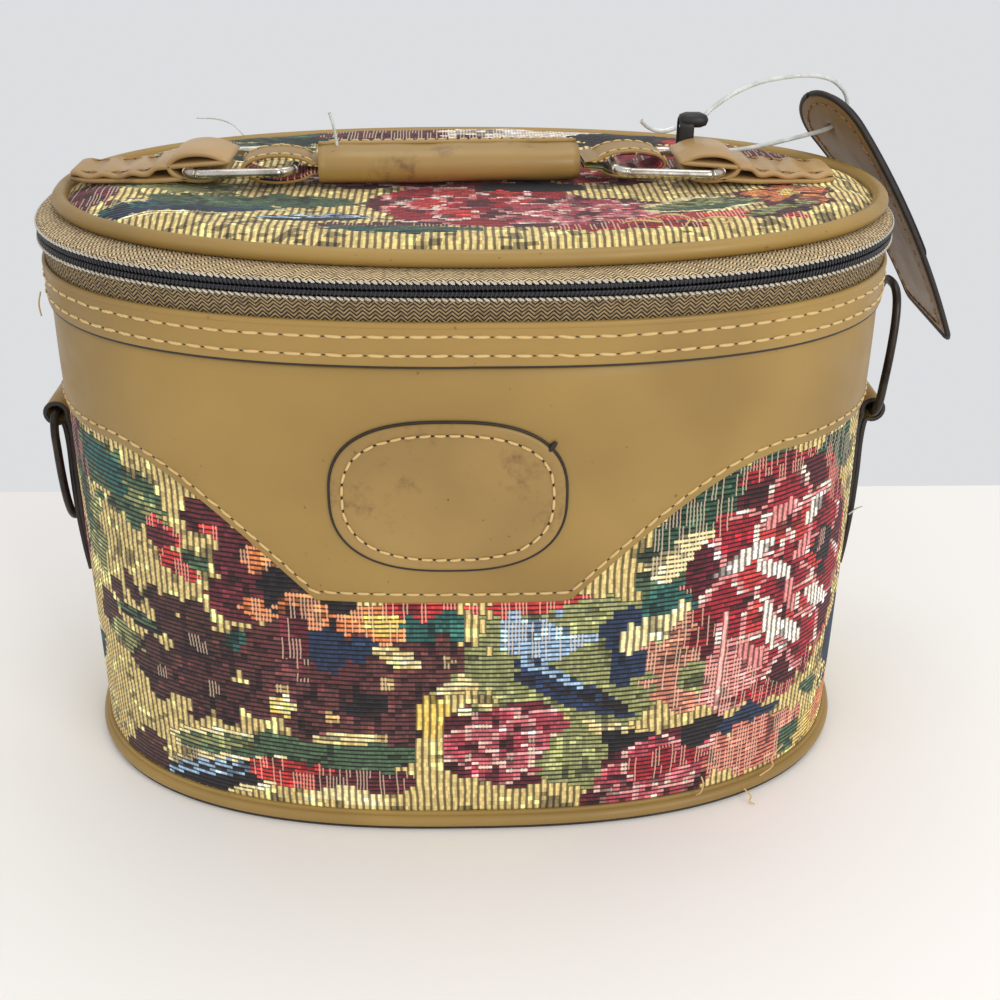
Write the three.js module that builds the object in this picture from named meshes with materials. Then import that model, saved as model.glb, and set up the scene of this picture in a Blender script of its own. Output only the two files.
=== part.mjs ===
// A soft-sided makeup train case: tapestry walls over board, a vinyl yoke and trim, a zipped flat lid
// with a slack top handle on two rings, a D-ring on each side and a luggage tag on a plastic loop.
// Millimetres, +Z up, origin at the centre of the underside, the front faces -Y.

import * as THREE from 'three';

// ---- Driving dimensions ------------------------------------------------------------------------

// Every horizontal outline is a superellipse: half width, half depth, exponent and centre.
const BODY = { a: 138, b: 93, n: 2.5, x: 0 };
const LID = { a: 137, b: 86, n: 2.15, x: 2 };
const STATION_COUNT = 52;
const PIPING_SIDES = 6;

const FLOOR_TOP = 4.3;
const WALL_TOP = 184;
const TAPESTRY_BOTTOM = 5.8;
const YOKE_TOP = 169.5;
const TAPE_ROOT = 170;
const BAND_BOTTOM = 168;
const BAND_TOP = 181;
const TAPE_OUT = 2.9;
const COIL_MEETING = 190.8;
const COIL_HALF_HEIGHT = 1.9;
const COIL_GAP = 0.2;
const ZIP_BACK_GAP = 78;
const HINGE_TOP = 189.6;

// The yoke dips in a bib at the front and the back: flat in the middle, then a quarter sine up.
const BIB_CENTRE = -9;
const BIB_FLAT = 40;
const BIB_RUN = 72;
const BIB_LOW = 88.5;
const BIB_RISE = 44;

const PATCH = { x: -7, z: 125.7, halfWidth: 35.5, halfHeight: 24.5, power: 2.6 };

// The slack handle lies a little askew: its left end is nearer the front.
const HANDLE_X = -4;
const HANDLE_Y = -1.5;
const HANDLE_YAW = 4;
const GRIP = { x: -2.4, halfLength: 43.2, halfWidth: 11.5, bottom: 199.7, top: 212.6 };
const GRIP_SLOT = { halfWidth: 8.4, halfHeight: 2.1 };
const STRAP_Z = 205.9;
const STRAP = { halfWidth: 8, halfThick: 1.7 };
const STRAP_LOOP = { reach: 58.5, halfLength: 11.5, halfHeight: 3.7, skin: 1.4 };
const RING = { pivot: 88, pivotZ: 204.9, span: 35, halfWidth: 17, wire: 1.6, tilt: 1.5 };
const CHAPE = { loopCentre: 84.5, halfLength: 9, halfHeight: 3.6, skin: 1.6, tail: 127, halfWidth: 12.4 };
const CHAPE_BOTTOM = 200.9;
const CHAPE_TAIL_HEIGHT = 3.6;

const TAB = {
  halfWidth: 12.5,
  bottom: 56,
  face: 138.5,
  thick: 2.8,
  loopX: 145.5,
  loopRadius: 4.5,
  holeRadius: 2.6,
};
const D_RING = { z: 119.5, halfWidth: 17, drop: 44, wire: 1.5 };
const RIGHT_RING_LEAN = 6;

const LOOP_RADIUS = 0.8;
const TAG = { length: 110, width: 40, thick: 2.2, bendRadius: 336, hole: 2.2, holeAlong: 16 };
const TAG_START = { x: 127.6, y: 21.6, z: 228.7, slope: 50.2 };
const TAG_BACKING = { inset: 1.5, length: 78, gap: 0.3, thick: 1.2 };

// ---- Geometry helpers --------------------------------------------------------------------------

const radians = THREE.MathUtils.degToRad;

function superellipse(shape, t) {
  const c = Math.cos(t);
  const s = Math.sin(t);
  const x = Math.sign(c) * shape.a * Math.abs(c) ** (2 / shape.n);
  const y = Math.sign(s) * shape.b * Math.abs(s) ** (2 / shape.n);
  return new THREE.Vector2(shape.x + x, y);
}

function outwardNormal(shape, p) {
  const x = p.x - shape.x;
  const nx = (Math.sign(x) * Math.abs(x / shape.a) ** (shape.n - 1)) / shape.a;
  const ny = (Math.sign(p.y) * Math.abs(p.y / shape.b) ** (shape.n - 1)) / shape.b;
  return new THREE.Vector2(nx, ny).normalize();
}

// A point on an outline moved outwards by offset, at height z. t runs anticlockwise from the right.
function onOutline(shape, t, offset, z) {
  const p = superellipse(shape, t);
  p.addScaledVector(outwardNormal(shape, p), offset);
  return new THREE.Vector3(p.x, p.y, z);
}

// Arc length along the body outline, measured from the front centre towards the right side.
const arcTable = (() => {
  const steps = 4000;
  const table = [{ t: -Math.PI / 2, s: 0 }];
  let last = superellipse(BODY, -Math.PI / 2);
  for (let i = 1; i <= steps; i += 1) {
    const t = -Math.PI / 2 + (2 * Math.PI * i) / steps;
    const p = superellipse(BODY, t);
    table.push({ t, s: table[i - 1].s + p.distanceTo(last) });
    last = p;
  }
  return table;
})();
const PERIMETER = arcTable[arcTable.length - 1].s;

function parameterAt(arc) {
  const s = THREE.MathUtils.euclideanModulo(arc, PERIMETER);
  const high = arcTable.findIndex((row) => row.s >= s);
  const b = arcTable[Math.max(high, 1)];
  const a = arcTable[Math.max(high, 1) - 1];
  return a.t + ((b.t - a.t) * (s - a.s)) / (b.s - a.s);
}

const baseArcs = Array.from({ length: STATION_COUNT }, (_, i) => (PERIMETER * i) / STATION_COUNT);
const fullStations = baseArcs.map(parameterAt);

// The stations of a strip that is open at the back, between -reach and +reach of arc from the front.
function openStations(reach) {
  const inside = baseArcs.filter((s) => Math.min(s, PERIMETER - s) < reach - 2);
  const signed = inside.map((s) => (s > PERIMETER / 2 ? s - PERIMETER : s));
  const sorted = [-reach, ...signed, reach].sort((p, q) => p - q);
  return sorted.map(parameterAt);
}

// A closed body from matching cross-sections; a closed run joins its last section to its first.
function loft(sections, closed = false) {
  const size = sections[0].length;
  const positions = sections.flat().flatMap((p) => [p.x, p.y, p.z]);
  const triangles = [];
  const runs = closed ? sections.length : sections.length - 1;
  for (let i = 0; i < runs; i += 1) {
    const next = (i + 1) % sections.length;
    for (let j = 0; j < size; j += 1) {
      const k = (j + 1) % size;
      triangles.push([i * size + j, next * size + j, next * size + k]);
      triangles.push([i * size + j, next * size + k, i * size + k]);
    }
  }
  if (!closed) {
    const start = (sections.length - 1) * size;
    capFaces(sections[0]).forEach((f) => triangles.push(f));
    const last = capFaces(sections[sections.length - 1]);
    last.forEach(([a, b, c]) => triangles.push([c + start, b + start, a + start]));
  }
  return facingOut(positions, triangles);
}

// Triangles across a flat section, wound the way the section runs.
function capFaces(section) {
  const normal = new THREE.Vector3();
  section.forEach((p, i) => normal.add(p.clone().cross(section[(i + 1) % section.length])));
  normal.normalize();
  const u = new THREE.Vector3().subVectors(section[1], section[0]).normalize();
  const v = new THREE.Vector3().crossVectors(normal, u);
  const flat = section.map((p) => new THREE.Vector2(p.dot(u), p.dot(v)));
  const turn = ([a, b, c]) => THREE.ShapeUtils.area([flat[a], flat[b], flat[c]]);
  return THREE.ShapeUtils.triangulateShape(flat, []).map((f) => (turn(f) < 0 ? [f[2], f[1], f[0]] : f));
}

// Turns every face over when the enclosed volume comes out negative.
function facingOut(positions, triangles) {
  const corner = (i) => new THREE.Vector3().fromArray(positions, 3 * i);
  const volume = triangles.reduce((sum, [a, b, c]) => sum + corner(a).dot(corner(b).cross(corner(c))), 0);
  const faces = volume < 0 ? triangles.map(([a, b, c]) => [a, c, b]) : triangles;
  const geometry = new THREE.BufferGeometry();
  geometry.setAttribute('position', new THREE.Float32BufferAttribute(positions, 3));
  geometry.setIndex(faces.flat());
  geometry.computeVertexNormals();
  return geometry;
}

// A band of constant section round an outline: each corner is [outline, offset, z].
function band(stations, corners, closed = true) {
  const section = (t) => corners.map(([shape, offset, z]) => onOutline(shape, t, offset, z));
  return loft(stations.map(section), closed);
}

function pipingRing(shape, offset, z, radius) {
  const corners = Array.from({ length: PIPING_SIDES }, (_, i) => {
    const angle = (2 * Math.PI * (i + 0.5)) / PIPING_SIDES;
    return [shape, offset + radius * Math.cos(angle), z + radius * Math.sin(angle)];
  });
  return band(fullStations, corners);
}

function slab(shape, offset, low, high) {
  return loft([low, high].map((z) => fullStations.map((t) => onOutline(shape, t, offset, z))));
}

// A sheet whose height changes from its middle to its edge: rows of [scale, z], top then underside.
function pillow(shape, offset, rows) {
  const ring = ([scale, z]) => fullStations.map((t) => {
    const p = onOutline(shape, t, offset, z);
    return new THREE.Vector3(shape.x + (p.x - shape.x) * scale, p.y * scale, z);
  });
  return loft(rows.map(ring));
}

// Round wire along points; flatNormal is the normal of a closed wire's plane.
function wire(points, radius, sides, closed, flatNormal) {
  const sections = points.map((p, i) => {
    const last = points.length - 1;
    const before = points[closed ? (i + last) % points.length : Math.max(i - 1, 0)];
    const after = points[closed ? (i + 1) % points.length : Math.min(i + 1, last)];
    const along = new THREE.Vector3().subVectors(after, before).normalize();
    const side = new THREE.Vector3().crossVectors(along, flatNormal).normalize();
    const lift = new THREE.Vector3().crossVectors(side, along);
    return Array.from({ length: sides }, (_, k) => {
      const angle = (2 * Math.PI * (k + 0.5)) / sides;
      const corner = p.clone().addScaledVector(side, radius * Math.cos(angle));
      return corner.addScaledVector(lift, radius * Math.sin(angle));
    });
  });
  return loft(sections, closed);
}

// A profile drawn in X and Z, with its thickness along Y centred on the middle plane.
function extrudeAcross(shape, halfWidth) {
  const options = { depth: 2 * halfWidth, bevelEnabled: false, curveSegments: 8 };
  const geometry = new THREE.ExtrudeGeometry(shape, options);
  geometry.rotateX(Math.PI / 2);
  geometry.translate(0, halfWidth, 0);
  return geometry;
}

const model = new THREE.Group();

function add(name, geometry, material, parent = model) {
  const mesh = new THREE.Mesh(geometry, material);
  mesh.name = name;
  parent.add(mesh);
  return mesh;
}

function finish(color, roughness, metalness = 0) {
  return new THREE.MeshStandardMaterial({ color, roughness, metalness });
}

const vinyl = finish(0xa58a58, 0.45);
const tapestry = finish(0x9a7a5e, 0.9);
const tapeCloth = finish(0x8d7a58, 0.9);
const coilPlastic = finish(0x2f3233, 0.4);
const brightMetal = finish(0xb9b6ae, 0.25, 1);
const darkMetal = finish(0x2c2a28, 0.4, 0.6);
const liningCloth = finish(0xb9a98c, 0.85);
const board = finish(0x8f7a5c, 0.9);
const foam = finish(0xd8cfae, 0.95);
const mirrorGlass = finish(0xdfe4e6, 0.05, 1);
const blackStrap = finish(0x1b1a1a, 0.6);
const clearNylon = finish(0xe6e8e6, 0.3);

// ---- Case --------------------------------------------------------------------------------------

// Shells and boards that make the open box.
function addCaseShell() {
  add('base_cover', slab(BODY, -1.9, 0, 1), vinyl);
  add('base_board', slab(BODY, -3.9, 1.3, FLOOR_TOP), board);
  add('bottom_piping', pipingRing(BODY, 0.9, 2.9, 2.3), vinyl);
  const boardCorners = [[BODY, -3.5, 1.3], [BODY, -1.5, 1.3], [BODY, -1.5, WALL_TOP], [BODY, -3.5, WALL_TOP]];
  add('wall_board', band(fullStations, boardCorners), board);
  const skinTop = 164;
  const skin = [
    [BODY, -1.2, TAPESTRY_BOTTOM],
    [BODY, 0, TAPESTRY_BOTTOM],
    [BODY, 0, skinTop],
    [BODY, -1.2, skinTop],
  ];
  add('tapestry_wall', band(fullStations, skin), tapestry);
  const liningTop = 181;
  const lining = [[BODY, -4.6, 5], [BODY, -3.8, 5], [BODY, -3.8, liningTop], [BODY, -4.6, liningTop]];
  add('body_lining', band(fullStations, lining), liningCloth);
  add('lining_floor', slab(BODY, -4.9, 4.6, 5.4), liningCloth);
}

// Height of the yoke's lower edge at an arc position, the same at the front and at the back.
function bibEdge(arc) {
  const s = THREE.MathUtils.euclideanModulo(arc, PERIMETER);
  const fromFront = s > PERIMETER / 2 ? s - PERIMETER : s;
  const fromBack = PERIMETER / 2 - s;
  const nearest = Math.abs(fromFront) < PERIMETER / 4 ? fromFront : fromBack;
  const climb = THREE.MathUtils.clamp((Math.abs(nearest - BIB_CENTRE) - BIB_FLAT) / BIB_RUN, 0, 1);
  return BIB_LOW + BIB_RISE * Math.sin((climb * Math.PI) / 2);
}

function addYoke() {
  const bibArcs = [];
  for (const middle of [BIB_CENTRE, PERIMETER / 2 - BIB_CENTRE]) {
    for (let reach = BIB_FLAT; reach < BIB_FLAT + BIB_RUN; reach += BIB_RUN / 8) {
      bibArcs.push(THREE.MathUtils.euclideanModulo(middle - reach, PERIMETER), middle + reach);
    }
  }
  const arcs = [...baseArcs, ...bibArcs].sort((p, q) => p - q);
  const clear = arcs.filter((s, i) => i === 0 || s - arcs[i - 1] > 0.5);
  const sections = clear.map((arc) => {
    const t = parameterAt(arc);
    const low = bibEdge(arc);
    const corners = [[0.3, low], [1.2, low], [1.2, YOKE_TOP], [0.3, YOKE_TOP]];
    return corners.map(([offset, z]) => onOutline(BODY, t, offset, z));
  });
  add('vinyl_yoke', loft(sections, true), vinyl);
}

// The blank oval patch sewn on the front of the yoke.
function addOvalPatch() {
  const columns = 14;
  const sections = [];
  for (let i = 0; i <= columns; i += 1) {
    const u = -Math.cos((Math.PI * (i + 0.35)) / (columns + 0.7));
    const half = PATCH.halfHeight * (1 - Math.abs(u) ** PATCH.power) ** (1 / PATCH.power);
    const t = parameterAt(PATCH.x + PATCH.halfWidth * u);
    const corners = [[1.5, -half], [2.9, -half], [2.9, half], [1.5, half]];
    sections.push(corners.map(([offset, z]) => onOutline(BODY, t, offset, PATCH.z + z)));
  }
  add('oval_patch', loft(sections), vinyl);
}

function addZipperCase() {
  const bandCorners = [
    [BODY, 1.6, BAND_BOTTOM],
    [BODY, 2.7, BAND_BOTTOM],
    [BODY, 2.7, BAND_TOP],
    [BODY, 1.6, BAND_TOP],
  ];
  add('top_band', band(fullStations, bandCorners), vinyl);
  const open = openStations(PERIMETER / 2 - ZIP_BACK_GAP);
  const coilTop = COIL_MEETING - COIL_GAP;
  const tapeTop = coilTop - COIL_HALF_HEIGHT;
  const tape = [
    [BODY, 0.4, TAPE_ROOT],
    [BODY, 1.3, TAPE_ROOT],
    [BODY, 1.3, BAND_TOP],
    [BODY, TAPE_OUT, tapeTop - 1.2],
    [BODY, TAPE_OUT, tapeTop],
    [BODY, TAPE_OUT - 1.2, tapeTop],
    [BODY, 0.4, BAND_TOP + 0.6],
  ];
  add('zipper_tape_lower', band(open, tape, false), tapeCloth);
  add('zipper_coil_lower', coilBand(open, tapeTop + 0.3, coilTop), coilPlastic);
}

function coilBand(stations, low, high) {
  const inner = TAPE_OUT - 1.4;
  const outer = TAPE_OUT + 0.3;
  const corners = [
    [BODY, inner, low],
    [BODY, outer, low],
    [BODY, outer, high],
    [BODY, inner, high],
  ];
  return band(stations, corners, false);
}

// The cloth strip across the back that the lid folds on, sewn behind the band.
function addBackHinge() {
  const reach = ZIP_BACK_GAP - 1;
  const stations = [];
  for (let s = -reach; s <= reach; s += reach / 4) stations.push(parameterAt(PERIMETER / 2 + s));
  const strip = [
    [BODY, 0.4, TAPE_ROOT],
    [BODY, 1.3, TAPE_ROOT],
    [BODY, 1.3, BAND_TOP],
    [BODY, TAPE_OUT, HINGE_TOP],
    [BODY, TAPE_OUT - 1.1, HINGE_TOP],
    [BODY, 0.4, BAND_TOP + 0.6],
  ];
  add('back_hinge_strip', band(stations, strip, false), tapeCloth);
}

// A strip tab whose top turns round the D-ring's straight bar.
function addSideTab(name, side) {
  const loopX = side * TAB.loopX;
  const profile = new THREE.Shape();
  profile.moveTo(side * TAB.face, TAB.bottom);
  profile.lineTo(side * TAB.face, D_RING.z - 2 * TAB.loopRadius);
  const start = side > 0 ? Math.PI : 0;
  profile.absarc(loopX, D_RING.z, TAB.loopRadius, start, -Math.PI / 2, side > 0);
  profile.lineTo(side * (TAB.face + TAB.thick), D_RING.z - 2 * TAB.loopRadius);
  profile.lineTo(side * (TAB.face + TAB.thick), TAB.bottom);
  profile.closePath();
  const hole = new THREE.Path();
  hole.absarc(loopX, D_RING.z, TAB.holeRadius, 0, 2 * Math.PI, false);
  profile.holes.push(hole);
  add(name, extrudeAcross(profile, TAB.halfWidth), vinyl);
}

// A D-ring: its straight bar lies along Y through the group's origin and the bow hangs down.
function addDRing(name, side, turn) {
  const points = [];
  const barSteps = 3;
  const bowSteps = 16;
  for (let i = 1; i < barSteps; i += 1) {
    points.push(new THREE.Vector3(0, -D_RING.halfWidth + (2 * D_RING.halfWidth * i) / barSteps, 0));
  }
  for (let i = 0; i <= bowSteps; i += 1) {
    const angle = (Math.PI * i) / bowSteps;
    const y = D_RING.halfWidth * Math.sign(Math.cos(angle)) * Math.abs(Math.cos(angle)) ** 0.7;
    points.push(new THREE.Vector3(0, y, -D_RING.drop * Math.abs(Math.sin(angle)) ** 0.8));
  }
  const frame = new THREE.Group();
  frame.position.set(side * TAB.loopX, 0, D_RING.z);
  frame.rotation.y = radians(turn);
  model.add(frame);
  add(name, wire(points, D_RING.wire, 8, true, new THREE.Vector3(1, 0, 0)), darkMetal, frame);
}

// The elastic-topped pocket on the back wall inside.
function addPocket() {
  const reach = 80;
  const stations = [];
  for (let s = -reach; s <= reach; s += reach / 5) stations.push(parameterAt(PERIMETER / 2 + s));
  const cloth = [[BODY, -8, 30], [BODY, -5.2, 30], [BODY, -5.2, 118], [BODY, -6.4, 118]];
  add('inner_pocket', band(stations, cloth, false), liningCloth);
  const elastic = [[BODY, -7, 118.3], [BODY, -5.2, 118.3], [BODY, -5.2, 125], [BODY, -7, 125]];
  add('pocket_elastic', band(stations, elastic, false), liningCloth);
}

// ---- Lid ---------------------------------------------------------------------------------------

function addLidZipper() {
  const open = openStations(PERIMETER / 2 - ZIP_BACK_GAP);
  const coilLow = COIL_MEETING + COIL_GAP;
  const coilTop = coilLow + COIL_HALF_HEIGHT;
  add('zipper_coil_upper', coilBand(open, coilLow, coilTop), coilPlastic);
  const low = coilTop + 0.3;
  const high = low + 0.7;
  const tape = [[LID, -2.2, low], [BODY, TAPE_OUT, low], [BODY, TAPE_OUT, high], [LID, -2.2, high]];
  add('zipper_tape_upper', band(open, tape, false), tapeCloth);
}

function addLidShell() {
  add('lid_piping', pipingRing(LID, 0, 197.2, 2.6), vinyl);
  add('lid_lining', slab(LID, -3.4, 191.7, 192.5), liningCloth);
  add('lid_board', slab(LID, -3.4, 192.8, 194.8), board);
  const pad = [[0.3, 197.3], [0.62, 197.5], [0.86, 198.5], [1, 196.2], [1, 195.1], [0.3, 195.1]];
  add('lid_foam', pillow(LID, -4.6, pad), foam);
  const cover = [
    [0.3, 198.6],
    [0.62, 198.9],
    [0.86, 200.1],
    [0.96, 199.4],
    [1, 196.8],
    [1, 195.7],
    [0.985, 196.6],
    [0.86, 198.9],
    [0.62, 197.9],
    [0.3, 197.7],
  ];
  add('lid_tapestry', pillow(LID, -3.2, cover), tapestry);
}

function addMirror() {
  const glass = { a: 62, b: 42, n: 3, x: 2 };
  add('mirror', slab(glass, 0, 190, 191.4), mirrorGlass);
  const rim = [[glass, 0.4, 189.2], [glass, 4, 189.2], [glass, 4, 191.4], [glass, 0.4, 191.4]];
  add('mirror_frame', band(fullStations, rim), vinyl);
}

// ---- Handle ------------------------------------------------------------------------------------

// Both handle pieces share this frame, whose origin is the middle of the handle.
const handleFrame = new THREE.Group();
handleFrame.position.set(HANDLE_X, HANDLE_Y, 0);
handleFrame.rotation.z = radians(HANDLE_YAW);
model.add(handleFrame);

function addGrip() {
  const outer = new THREE.Shape();
  const middle = (GRIP.bottom + GRIP.top) / 2;
  outer.absellipse(0, middle, GRIP.halfWidth, (GRIP.top - GRIP.bottom) / 2, 0, 2 * Math.PI, false);
  const slot = new THREE.Path();
  slot.moveTo(-GRIP_SLOT.halfWidth, STRAP_Z - GRIP_SLOT.halfHeight);
  slot.lineTo(GRIP_SLOT.halfWidth, STRAP_Z - GRIP_SLOT.halfHeight);
  slot.lineTo(GRIP_SLOT.halfWidth, STRAP_Z + GRIP_SLOT.halfHeight);
  slot.lineTo(-GRIP_SLOT.halfWidth, STRAP_Z + GRIP_SLOT.halfHeight);
  slot.closePath();
  outer.holes.push(slot);
  const options = { depth: 2 * GRIP.halfLength, bevelEnabled: false, curveSegments: 24 };
  const geometry = new THREE.ExtrudeGeometry(outer, options);
  geometry.rotateX(Math.PI / 2);
  geometry.rotateZ(Math.PI / 2);
  geometry.translate(GRIP.x - GRIP.halfLength, 0, 0);
  add('handle_grip', geometry, vinyl, handleFrame);
}

// One strap runs through the grip and turns back on itself in a loop at each end.
function addHandleStrap() {
  const { reach, halfLength, halfHeight, skin } = STRAP_LOOP;
  const outerLength = halfLength + skin;
  const outerHeight = halfHeight + skin;
  const join = Math.asin(STRAP.halfThick / outerHeight);
  const profile = new THREE.Shape();
  profile.absellipse(reach, STRAP_Z, outerLength, outerHeight, Math.PI + join, Math.PI - join, false);
  profile.absellipse(-reach, STRAP_Z, outerLength, outerHeight, join, -join, false);
  profile.closePath();
  for (const side of [-1, 1]) {
    const hole = new THREE.Path();
    hole.absellipse(side * reach, STRAP_Z, halfLength, halfHeight, 0, 2 * Math.PI, false);
    profile.holes.push(hole);
  }
  add('handle_strap', extrudeAcross(profile, STRAP.halfWidth), vinyl, handleFrame);
}

// A rounded rectangular wire ring; its outer bar is the pivot and it slopes up towards the grip.
function addHandleRing(name, side) {
  const corner = 6;
  const path = new THREE.Shape();
  path.moveTo(0, -RING.halfWidth + corner);
  path.lineTo(0, RING.halfWidth - corner);
  path.absarc(corner, RING.halfWidth - corner, corner, Math.PI, Math.PI / 2, true);
  path.lineTo(RING.span - corner, RING.halfWidth);
  path.absarc(RING.span - corner, RING.halfWidth - corner, corner, Math.PI / 2, 0, true);
  path.lineTo(RING.span, -RING.halfWidth + corner);
  path.absarc(RING.span - corner, -RING.halfWidth + corner, corner, 0, -Math.PI / 2, true);
  path.lineTo(corner, -RING.halfWidth);
  path.absarc(corner, -RING.halfWidth + corner, corner, -Math.PI / 2, -Math.PI, true);
  const outline = path.getPoints(4);
  const open = outline.filter((p, i) => i === 0 || p.distanceTo(outline[i - 1]) > 0.01);
  if (open[0].distanceTo(open[open.length - 1]) < 0.01) open.pop();
  const points = open.map((p) => new THREE.Vector3(-side * p.x, p.y, 0));
  const frame = new THREE.Group();
  frame.position.set(HANDLE_X + side * RING.pivot, 0, RING.pivotZ);
  frame.rotation.y = radians(side * RING.tilt);
  model.add(frame);
  add(name, wire(points, RING.wire, 8, true, new THREE.Vector3(0, 0, 1)), brightMetal, frame);
}

// The sewn strap that holds a ring on the lid: a flat tail and an open loop towards the grip.
function addChape(name, side) {
  const x = (distance) => HANDLE_X + side * distance;
  const { loopCentre, halfLength, halfHeight, skin, tail } = CHAPE;
  const centreZ = CHAPE_BOTTOM + halfHeight + skin;
  const tailTop = CHAPE_BOTTOM + CHAPE_TAIL_HEIGHT;
  const steps = 14;
  const profile = new THREE.Shape();
  profile.moveTo(x(tail), tailTop - 1);
  profile.lineTo(x(tail), CHAPE_BOTTOM);
  for (let i = 0; i <= steps; i += 1) {
    const angle = -Math.PI / 2 - (1.3 * Math.PI * i) / steps;
    const reach = (halfLength + skin) * Math.cos(angle);
    profile.lineTo(x(loopCentre + reach), centreZ + (halfHeight + skin) * Math.sin(angle));
  }
  profile.quadraticCurveTo(x(loopCentre + halfLength + 1), tailTop, x(loopCentre + halfLength + 6), tailTop);
  profile.lineTo(x(tail - 3), tailTop);
  profile.closePath();
  const hole = new THREE.Path();
  hole.absellipse(x(loopCentre), centreZ, halfLength, halfHeight, 0, 2 * Math.PI, false);
  profile.holes.push(hole);
  add(name, extrudeAcross(profile, CHAPE.halfWidth), vinyl);
}

// ---- Zipper slider -----------------------------------------------------------------------------

// The slider rides the outside of the coil; the track's left end is close to a round arc here.
const TRACK_CENTRE_X = -28;
const SLIDER_ANGLE = 154;
const SLIDER_RADIUS = 115.6;
const PLATE = { top: 4, bottom: -5.5, halfTop: 3.6, halfBottom: 2.8, nose: 6.5, thick: 1.4 };
const BRIDGE = { halfSpan: 3.6, inside: 2.4, rise: 6, insideRise: 3.4, halfWidth: 0.8, stand: 1.7 };
const PULL = { halfHead: 5.2, top: 2.2, shoulder: -3.2, neck: -6, halfNeck: 3, halfFoot: 3.8 };
const PULL_TIP = { foot: -20, point: -25, thick: 1.1, stand: 2.2 };
const PULL_EYE = { halfWidth: 4, top: 1.2, bottom: -2 };

function addSlider() {
  const frame = new THREE.Group();
  const angle = radians(SLIDER_ANGLE);
  const x = TRACK_CENTRE_X + SLIDER_RADIUS * Math.cos(angle);
  frame.position.set(x, SLIDER_RADIUS * Math.sin(angle), COIL_MEETING);
  frame.rotation.z = angle;
  model.add(frame);
  const plate = new THREE.Shape();
  plate.moveTo(PLATE.bottom, -PLATE.halfBottom);
  plate.lineTo(PLATE.top, -PLATE.halfTop);
  plate.quadraticCurveTo(PLATE.nose, 0, PLATE.top, PLATE.halfTop);
  plate.lineTo(PLATE.bottom, PLATE.halfBottom);
  plate.closePath();
  const flat = (depth) => ({ depth, bevelEnabled: false, curveSegments: 8 });
  const body = new THREE.ExtrudeGeometry(plate, flat(PLATE.thick));
  body.rotateX(Math.PI / 2);
  body.rotateZ(Math.PI / 2);
  add('zipper_slider', body, darkMetal, frame);
  const arch = new THREE.Shape();
  arch.moveTo(-BRIDGE.halfSpan, 0);
  arch.lineTo(-BRIDGE.inside, 0);
  arch.quadraticCurveTo(0, BRIDGE.insideRise, BRIDGE.inside, 0);
  arch.lineTo(BRIDGE.halfSpan, 0);
  arch.quadraticCurveTo(0, BRIDGE.rise, -BRIDGE.halfSpan, 0);
  const bridge = new THREE.ExtrudeGeometry(arch, flat(2 * BRIDGE.halfWidth));
  bridge.translate(0, 0, -BRIDGE.halfWidth);
  bridge.rotateZ(-Math.PI / 2);
  bridge.translate(BRIDGE.stand, 0, 0);
  add('slider_bridge', bridge, darkMetal, frame);
  const pull = new THREE.Shape();
  pull.moveTo(-PULL.halfHead, PULL.top);
  pull.lineTo(PULL.halfHead, PULL.top);
  pull.lineTo(PULL.halfHead, PULL.shoulder);
  pull.lineTo(PULL.halfNeck, PULL.neck);
  pull.lineTo(PULL.halfFoot, PULL_TIP.foot);
  pull.quadraticCurveTo(0, PULL_TIP.point, -PULL.halfFoot, PULL_TIP.foot);
  pull.lineTo(-PULL.halfNeck, PULL.neck);
  pull.lineTo(-PULL.halfHead, PULL.shoulder);
  pull.closePath();
  const eye = new THREE.Path();
  eye.moveTo(-PULL_EYE.halfWidth, PULL_EYE.top);
  eye.lineTo(-PULL_EYE.halfWidth, PULL_EYE.bottom);
  eye.lineTo(PULL_EYE.halfWidth, PULL_EYE.bottom);
  eye.lineTo(PULL_EYE.halfWidth, PULL_EYE.top);
  eye.closePath();
  pull.holes.push(eye);
  const tongue = new THREE.ExtrudeGeometry(pull, flat(PULL_TIP.thick));
  tongue.rotateX(Math.PI / 2);
  tongue.rotateZ(Math.PI / 2);
  tongue.translate(PULL_TIP.stand, 0, 0);
  add('zipper_pull', tongue, darkMetal, frame);
}

// ---- Luggage tag -------------------------------------------------------------------------------

// The tag's width direction at its round top and at its foot; the leather is a little twisted.
const TAG_ACROSS_TOP = new THREE.Vector3(-6.4, 38, -15.1);
const TAG_ACROSS_FOOT = new THREE.Vector3(-4.2, 38, 4.9);

// A point of the tag: across its width, along its curved length and below its outer face.
function tagPoint(across, along, below) {
  const width = new THREE.Vector3().lerpVectors(TAG_ACROSS_TOP, TAG_ACROSS_FOOT, along / TAG.length);
  width.normalize();
  const first = radians(TAG_START.slope);
  const slope = first + along / TAG.bendRadius;
  const x = TAG_START.x + TAG.bendRadius * (Math.sin(slope) - Math.sin(first));
  const z = TAG_START.z + TAG.bendRadius * (Math.cos(slope) - Math.cos(first));
  const down = new THREE.Vector3(Math.cos(slope), 0, -Math.sin(slope));
  const inward = new THREE.Vector3().crossVectors(width, down).normalize();
  return new THREE.Vector3(x, TAG_START.y, z).addScaledVector(width, across).addScaledVector(inward, below);
}

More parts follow.
